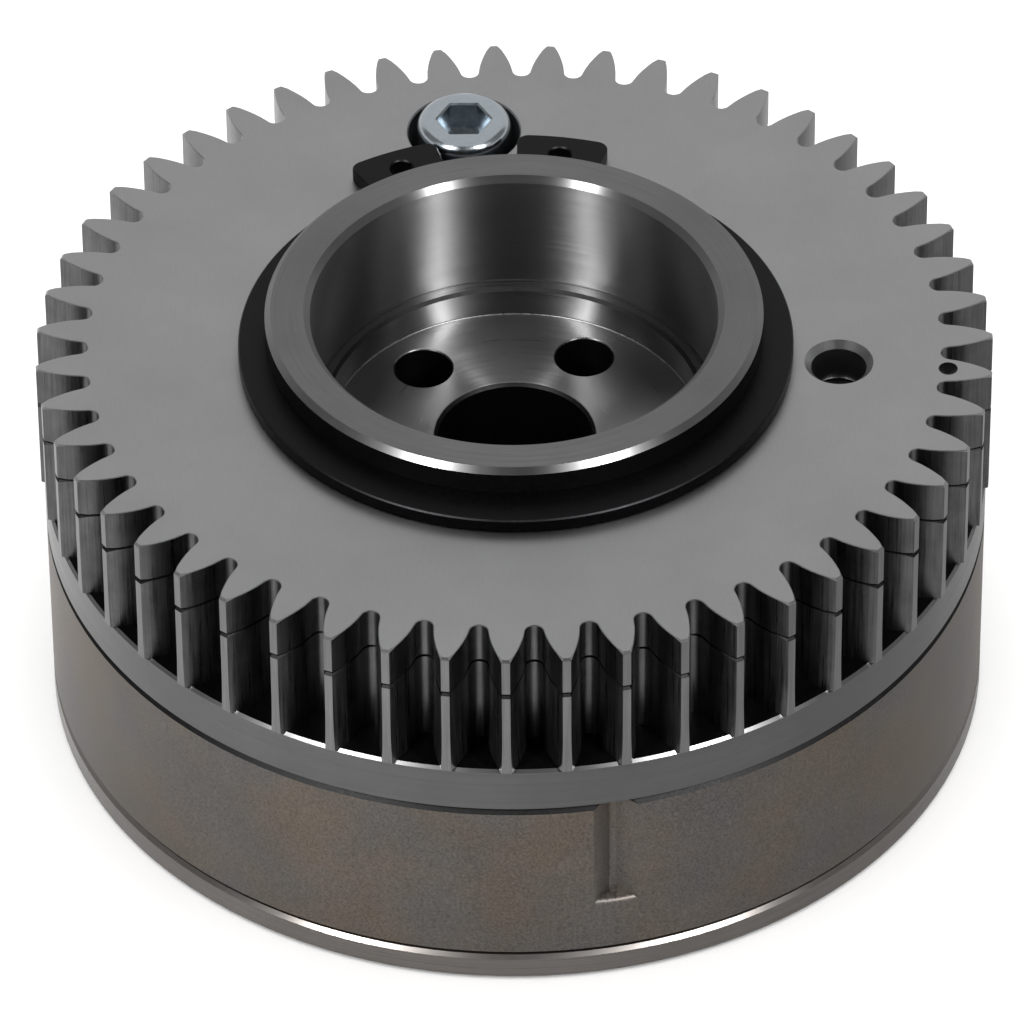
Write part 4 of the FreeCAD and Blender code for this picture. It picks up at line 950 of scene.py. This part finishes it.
class PHASER_OT_ring(bpy.types.Operator):
    """Retaining ring: a stamped strip with two lugs and plier holes"""

    bl_idname = "phaser.ring"
    bl_label = "Retaining ring"

    def execute(self, context):
        ring = context.scene.phaser.ring
        low_z, high_z = bottom("retaining_ring"), top("retaining_ring")
        outline = self.outline(ring)
        shell = Shell()
        levels = []
        edge = ring.edge
        for z, inset in ((low_z, edge), (low_z + edge, 0.0), (high_z - edge, 0.0), (high_z, edge)):
            levels.append(shell.loop([(x, y, z) for x, y in self.narrowed(outline, inset)]))
        for lower, upper in zip(levels, levels[1:]):
            shell.wall(lower, upper)
        holes = []
        for side in (-1, 1):
            angle = ring.gap_angle + side * (ring.lug_inner + ring.lug_outer) / 2
            at = polar(ring.hole_at, angle).xy
            holes.append(shell.edged_hole(ring.hole, ring.edge, low_z, high_z, at, SMALL_ROUND))
        shell.fill(levels[0], *(low for low, high in holes))
        shell.fill(levels[-1], *(high for low, high in holes))
        mesh = shell.mesh("retaining_ring_oxide", ["black oxide"])
        piece("retaining_ring_oxide", mesh, "drive", "black_oxide", "retaining_ring")
        return {"FINISHED"}

    def outline(self, ring):
        """Points of the strip's edge, once round it."""
        def band(angle):
            off = ring.gap_angle + math.pi
            along = ring.offset * math.cos(angle - off)
            across = ring.offset * math.sin(angle - off)
            return along + math.sqrt(ring.outer ** 2 - across ** 2)

        def lug(side):
            """Outer edge of one lug, from the gap to the band."""
            round_angle = ring.lug_round / (ring.reach - ring.lug_round)
            first, last = ring.lug_inner + round_angle, ring.lug_outer - round_angle
            points = []
            for corner, start in ((first, -90), (last, 0)):
                centre = polar(ring.reach - ring.lug_round, corner)
                for step in range(CORNER_STEPS + 1):
                    angle = corner + math.radians(start + 90 * step / CORNER_STEPS)
                    points.append(centre + polar(ring.lug_round, angle))
                if corner == first:
                    for step in range(1, LUG_STEPS):
                        points.append(polar(ring.reach, first + (last - first) * step / LUG_STEPS))
            turned = []
            for point in points:
                angle = math.atan2(point.y, point.x) * side + ring.gap_angle
                turned.append(polar(point.length, angle).xy)
            return turned if side > 0 else turned[::-1]

        outer, inner = [], []
        for step in range(BAND_STEPS + 1):
            share = step / BAND_STEPS
            angle = ring.gap_angle + ring.lug_outer + (2 * math.pi - 2 * ring.lug_outer) * share
            outer.append(polar(band(angle), angle).xy)
            angle = ring.gap_angle - ring.lug_inner - (2 * math.pi - 2 * ring.lug_inner) * share
            inner.append(polar(ring.inner, angle).xy)
        return lug(1) + outer + lug(-1) + inner

    def narrowed(self, points, inset):
        """The same points moved inward from an anticlockwise edge."""
        moved = []
        for index, point in enumerate(points):
            before = (point - points[index - 1]).normalized()
            after = (points[(index + 1) % len(points)] - point).normalized()
            first = Vector((-before.y, before.x))
            second = Vector((-after.y, after.x))
            lean = (first + second).normalized()
            moved.append(point + lean * inset / max(0.4, lean.dot(first)))
        return moved


class PHASER_OT_stop_screw(bpy.types.Operator):
    """Stop screw: a socket cap screw with a rounded head"""

    bl_idname = "phaser.stop_screw"
    bl_label = "Stop screw"

    def execute(self, context):
        screws = context.scene.phaser.screws
        low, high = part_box("stop_screw")
        radius = (high.x - low.x) / 2
        centre = ((low + high) / 2).xy
        seat_z = high.z - screws.stop_head
        shank, edge, under = screws.stop_shank, screws.head_edge, screws.head_under
        profile = [
            (shank / 2, low.z),
            (shank, low.z + shank / 2),
            (shank, seat_z),
            (radius - under, seat_z),
            (radius, seat_z + under),
        ]
        for step in range(CORNER_STEPS + 1):
            angle = math.radians(90 * step / CORNER_STEPS)
            profile.append((radius - edge + edge * math.cos(angle), high.z - edge + edge * math.sin(angle)))
        shell = Shell()
        tip, rim = shell.tube(profile, centre, 2 * SMALL_ROUND)
        shell.fill(tip)
        shell.socket(rim, centre, high.z, -1, screws.stop_key, screws.key_edge, screws.stop_key_depth,
                     screws.stop_key_cone)
        mesh = shell.mesh("stop_screw_plated", ["bright zinc plate"])
        piece("stop_screw_plated", mesh, "drive", "zinc_plate", "stop_screw")
        return {"FINISHED"}


class PHASER_OT_cover_screws(bpy.types.Operator):
    """Cover screws: like countersunk screws, one pattern repeated about the axis"""

    bl_idname = "phaser.cover_screws"
    bl_label = "Cover screws"

    def execute(self, context):
        screws = context.scene.phaser.screws
        low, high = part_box("cover_screws")
        at = (screws.cover_at, 0.0)
        shank, head = screws.cover_shank, screws.cover_head
        shell = Shell()
        rim, tip = shell.tube([
            (head - screws.cover_head_edge, low.z),
            (head, low.z + screws.cover_head_edge),
            (shank, low.z + screws.cover_head_height),
            (shank, high.z - shank / 2),
            (shank / 2, high.z),
        ], at, SMALL_ROUND)
        shell.fill(tip)
        shell.socket(rim, at, low.z, 1, screws.cover_key, screws.key_edge, screws.cover_key_depth,
                     screws.cover_key_cone)
        pattern = shell.mesh("cover_screw", ["black oxide"])
        copies = repeated(pattern, "black oxide", screws.cover_count, screws.cover_angle)
        piece("cover_screws_oxide", copies, "drive", "black_oxide", "cover_screws")
        return {"FINISHED"}


class PHASER_OT_housing(bpy.types.Operator):
    """Stator housing and rear cover, welded and finished"""

    bl_idname = "phaser.housing"
    bl_label = "Housing and cover"

    def execute(self, context):
        gears = context.scene.phaser.gears
        housing_z = top("stator_housing")
        seam_z = housing_z - gears.housing_chamfer
        notch_z = housing_z - gears.notch_length
        notch_sweep = math.asin(gears.notch_width / 2 / gears.body_radius) + CLOSE / gears.body_radius
        heading = polar(1.0, gears.notch_angle).xy

        def in_notch(point, radius):
            level = point.xy
            return abs(level.length - radius) < CLOSE and level.angle(heading) < notch_sweep

        def notch_corner(point):
            return in_notch(point, gears.body_radius - gears.notch_depth) and point.z > notch_z - CLOSE

        def notch_sill(point):
            return in_notch(point, gears.body_radius) and abs(point.z - notch_z) < CLOSE

        # Painted shade: the housing's top chamfer, along the seam under the flange, takes the dark finish
        def choose(face):
            return 1 if not flat(face) and face.calc_center_median().z > seam_z else 0

        rounds = [(notch_corner, gears.notch_round), (notch_sill, gears.notch_round)]
        names = ["steam treated sintered steel", "dark scale"]
        housing = merged_copy("stator_housing", names, choose, rounds)
        piece("stator_housing_sintered", housing, "drive", "sintered_steel", "stator_housing")
        cover = merged_copy("rear_cover", ["turned cover steel"])
        piece("rear_cover_turned", cover, "drive", "turned_steel", "rear_cover")
        return {"FINISHED"}


class PHASER_OT_rotor(bpy.types.Operator):
    """Rotor, welded and faced"""

    bl_idname = "phaser.rotor"
    bl_label = "Rotor"

    def execute(self, context):
        gears = context.scene.phaser.gears
        rim_z = top("rotor")
        floor_z = rim_z - gears.recess_depth
        wall, seat = gears.recess_radius, gears.bolt_seat

        def on_floor(inside, outside):
            """Test for points on the recess's floor between two radii."""
            return lambda point: abs(point.z - floor_z) < CLOSE and inside < point.xy.length < outside

        def choose(face):
            if flat(face):
                return 0
            centre = face.calc_center_median()
            # Painted shade on the recess's mouth chamfer, on every wall below the floor, holes among them,
            # and on the centre chamfer; it also keeps their glints down
            at_rim = rim_z - centre.z < gears.recess_chamfer and centre.xy.length < gears.nose_radius - CLOSE
            in_hole = centre.z < floor_z - gears.centre_chamfer
            at_chamfer = centre.xy.length < seat and face.normal.z < CHAMFER_RISE
            if at_rim or in_hole or at_chamfer:
                return 1
            # Painted shade in the corner: the floor's round takes the darker flank steel
            return 2 if abs(centre.z - floor_z) < gears.recess_round else 0

        rounds = [
            (on_floor(wall - CLOSE, wall + CLOSE), gears.recess_round),
            (on_floor(seat, wall - gears.recess_round - CLOSE), gears.oil_edge),
            (on_floor(0.0, seat), gears.centre_edge),
        ]
        names = ["faced rotor steel", "dark scale", "hobbed flank steel"]
        rotor = merged_copy("rotor", names, choose, rounds)
        piece("rotor_faced", rotor, "rotor", "rotor_steel", "rotor")
        return {"FINISHED"}


class PHASER_OT_inner_parts(bpy.types.Operator):
    """Finishes of the parts inside, whose own shapes stay"""

    bl_idname = "phaser.inner_parts"
    bl_label = "Inner parts"

    def execute(self, context):
        looks = finishes()
        for name, node in frame["nodes"].items():
            if node.hide_render:
                continue
            finish = "moulded seal polymer" if name.startswith("vane_seal") else "drawn spring steel"
            node.data.materials.clear()
            node.data.materials.append(looks[finish])
        return {"FINISHED"}


def leaned(first, second, angle):
    """Two directions, turned from the first towards the second."""
    along, across = math.cos(angle), math.sin(angle)
    return first * along + second * across, second * along - first * across


def facing(azimuth, elevation):
    """Placement at an azimuth and elevation in degrees, turned to face the part."""
    rise = math.radians(elevation)
    place = polar(STUDIO_DISTANCE * math.cos(rise), math.radians(azimuth), STUDIO_DISTANCE * math.sin(rise))
    turned = (Vector((0, 0, STUDIO_AIM)) - place).to_track_quat("-Z", "Y").to_matrix().to_4x4()
    return Matrix.Translation(place) @ turned


class PHASER_OT_stage(bpy.types.Operator):
    """Camera, floor, surroundings and soft studio light"""

    bl_idname = "phaser.stage"
    bl_label = "Stage"

    def execute(self, context):
        stage = context.scene.phaser.stage
        self.camera(context, stage)
        self.floor(stage)
        self.surroundings(context, stage)
        # The softboxes miss the ground face, which would blaze from behind
        lit = bpy.data.collections.new("lit by softboxes")
        for made in bpy.context.scene.collection.all_objects:
            if made.type == "MESH" and made.name != "scissor_gear_ground":
                lit.objects.link(made)
        self.softbox("softbox_left", facing(-132, 42), 0.105, 0.4, 88.0, lit)
        self.softbox("softbox_right", facing(-47, 42), 0.09, 0.4, 108.0, lit)
        self.flag("flag_over_camera", facing(-90, 48), 0.62, 0.9, 0.03)
        self.flag("flag_left", facing(178, 42), 1.2, 0.7, 0.2)
        self.flag("flag_right", facing(2, 42), 1.2, 0.7, 0.2)
        context.scene.view_settings.view_transform = "Standard"
        return {"FINISHED"}

    def camera(self, context, stage):
        aim = Vector((0, 0, top("scissor_gear")))
        back = Vector((0, -math.cos(stage.elevation), math.sin(stage.elevation)))
        right = Vector((1, 0, 0))
        ahead, up = leaned(-back, right.cross(-back), stage.pitch)
        ahead, right = leaned(ahead, right, stage.yaw)
        right, up = leaned(right, up, stage.roll)
        data = bpy.data.cameras.new("camera")
        data.lens = stage.lens
        data.sensor_width = stage.sensor
        data.clip_start, data.clip_end = 0.01, 20.0
        camera = linked("camera", data)
        turned = Matrix((right, up, -ahead)).transposed().to_4x4()
        camera.matrix_world = Matrix.Translation(aim + back * stage.distance) @ turned
        context.scene.camera = camera

    def floor(self, stage):
        made = bpy.data.materials.new("matt white floor")
        tree = empty_tree(made)
        # Painted shade: the floor's colour darkens to the right, away from the main light, as the metal sees
        # it; the camera sees it white
        place = add(tree, "ShaderNodeTexCoord").outputs["Object"]
        across = add(tree, "ShaderNodeSeparateXYZ", {0: place})
        fall = add(tree, "ShaderNodeMapRange", {
            0: across, "From Min": PAINTED_FALL_FROM, "From Max": PAINTED_FALL_TO, "To Min": 1.0, "To Max": stage.painted_fall_off})
        painted_dim = add(tree, "ShaderNodeVectorMath", {0: tuple(stage.floor), 3: fall}, operation="SCALE")
        in_metal = add(tree, "ShaderNodeLightPath").outputs["Is Glossy Ray"]
        seen = add(tree, "ShaderNodeMix", {0: in_metal, 6: opaque(stage.floor), 7: painted_dim},
                   data_type="RGBA").outputs[2]
        shader = add(tree, "ShaderNodeBsdfDiffuse", {"Color": seen})
        add(tree, "ShaderNodeOutputMaterial", {"Surface": shader})
        surface = bmesh.new()
        bmesh.ops.create_grid(surface, x_segments=2, y_segments=2, size=FLOOR_HALF)
        mesh = mesh_of(surface, "floor")
        mesh.materials.append(made)
        mesh.transform(Matrix.Translation((0, 0, -FLOOR_DROP)))
        linked("floor", mesh)

    def surroundings(self, context, stage):
        world = bpy.data.worlds.new("white surroundings")
        context.scene.world = world
        tree = empty_tree(world)
        # The floor is lit past white, and the metal sees the sky a little softer
        in_metal = add(tree, "ShaderNodeLightPath").outputs["Is Glossy Ray"]
        strength = add(tree, "ShaderNodeMapRange", {0: in_metal, "To Min": stage.floor_light, "To Max": 1.0})
        light = add(tree, "ShaderNodeBackground", {"Color": opaque(stage.floor), "Strength": strength})
        add(tree, "ShaderNodeOutputWorld", {"Surface": light})

    def flag(self, name, placement, width, height, shade):
        """Dark card that only shows in the metal, as a studio's flag does."""
        made = bpy.data.materials.new(f"{name} felt")
        tree = empty_tree(made)
        shader = add(tree, "ShaderNodeBsdfDiffuse", {"Color": (shade, shade, shade, 1.0)})
        add(tree, "ShaderNodeOutputMaterial", {"Surface": shader})
        card = Shell()
        corners = [(x * width / 2, y * height / 2, 0) for x, y in ((-1, -1), (1, -1), (1, 1), (-1, 1))]
        card.bm.faces.new(card.loop(corners))
        mesh = mesh_of(card.bm, name)
        mesh.materials.append(made)
        mesh.transform(placement)
        flag = linked(name, mesh)
        flag.visible_camera = False
        flag.visible_diffuse = False
        flag.visible_shadow = False

    def softbox(self, name, placement, width, height, radiance, lit):
        """Area light that shows only in the part's metal."""
        data = bpy.data.lights.new(name, "AREA")
        data.shape = "RECTANGLE"
        data.size, data.size_y = width, height
        data.energy = radiance * math.pi * width * height
        light = linked(name, data)
        light.matrix_world = placement
        light.visible_diffuse = False
        light.light_linking.receiver_collection = lit


OPERATORS = (
    PHASER_OT_scissor,
    PHASER_OT_drive,
    PHASER_OT_ring,
    PHASER_OT_stop_screw,
    PHASER_OT_cover_screws,
    PHASER_OT_housing,
    PHASER_OT_rotor,
    PHASER_OT_inner_parts,
    PHASER_OT_stage,
)


class PHASER_PT_panel(bpy.types.Panel):
    """Lists the pieces, their sizes and the stage"""

    bl_idname = "PHASER_PT_panel"
    bl_label = "Cam Phaser"
    bl_space_type = "VIEW_3D"
    bl_region_type = "UI"
    bl_category = "Cam Phaser"

    def draw(self, context):
        column = self.layout.column()
        for operator in OPERATORS:
            column.operator(operator.bl_idname)
        for name, group in GROUPS.items():
            part = self.layout.box().column()
            part.label(text=name.title())
            for field in group.__annotations__:
                part.prop(getattr(context.scene.phaser, name), field)


CLASSES = (*GROUPS.values(), PHASER_PG_all, *OPERATORS, PHASER_PT_panel)


def register():
    for item in CLASSES:
        bpy.utils.register_class(item)
    bpy.types.Scene.phaser = bpy.props.PointerProperty(
        name="Cam phaser", description="Sizes and colours of the cam phaser", type=PHASER_PG_all)


def unregister():
    del bpy.types.Scene.phaser
    for item in reversed(CLASSES):
        bpy.utils.unregister_class(item)


def main():
    register()
    for operator in OPERATORS:
        group, name = operator.bl_idname.split(".")
        getattr(getattr(bpy.ops, group), name)()


if __name__ == "__main__":
    main()
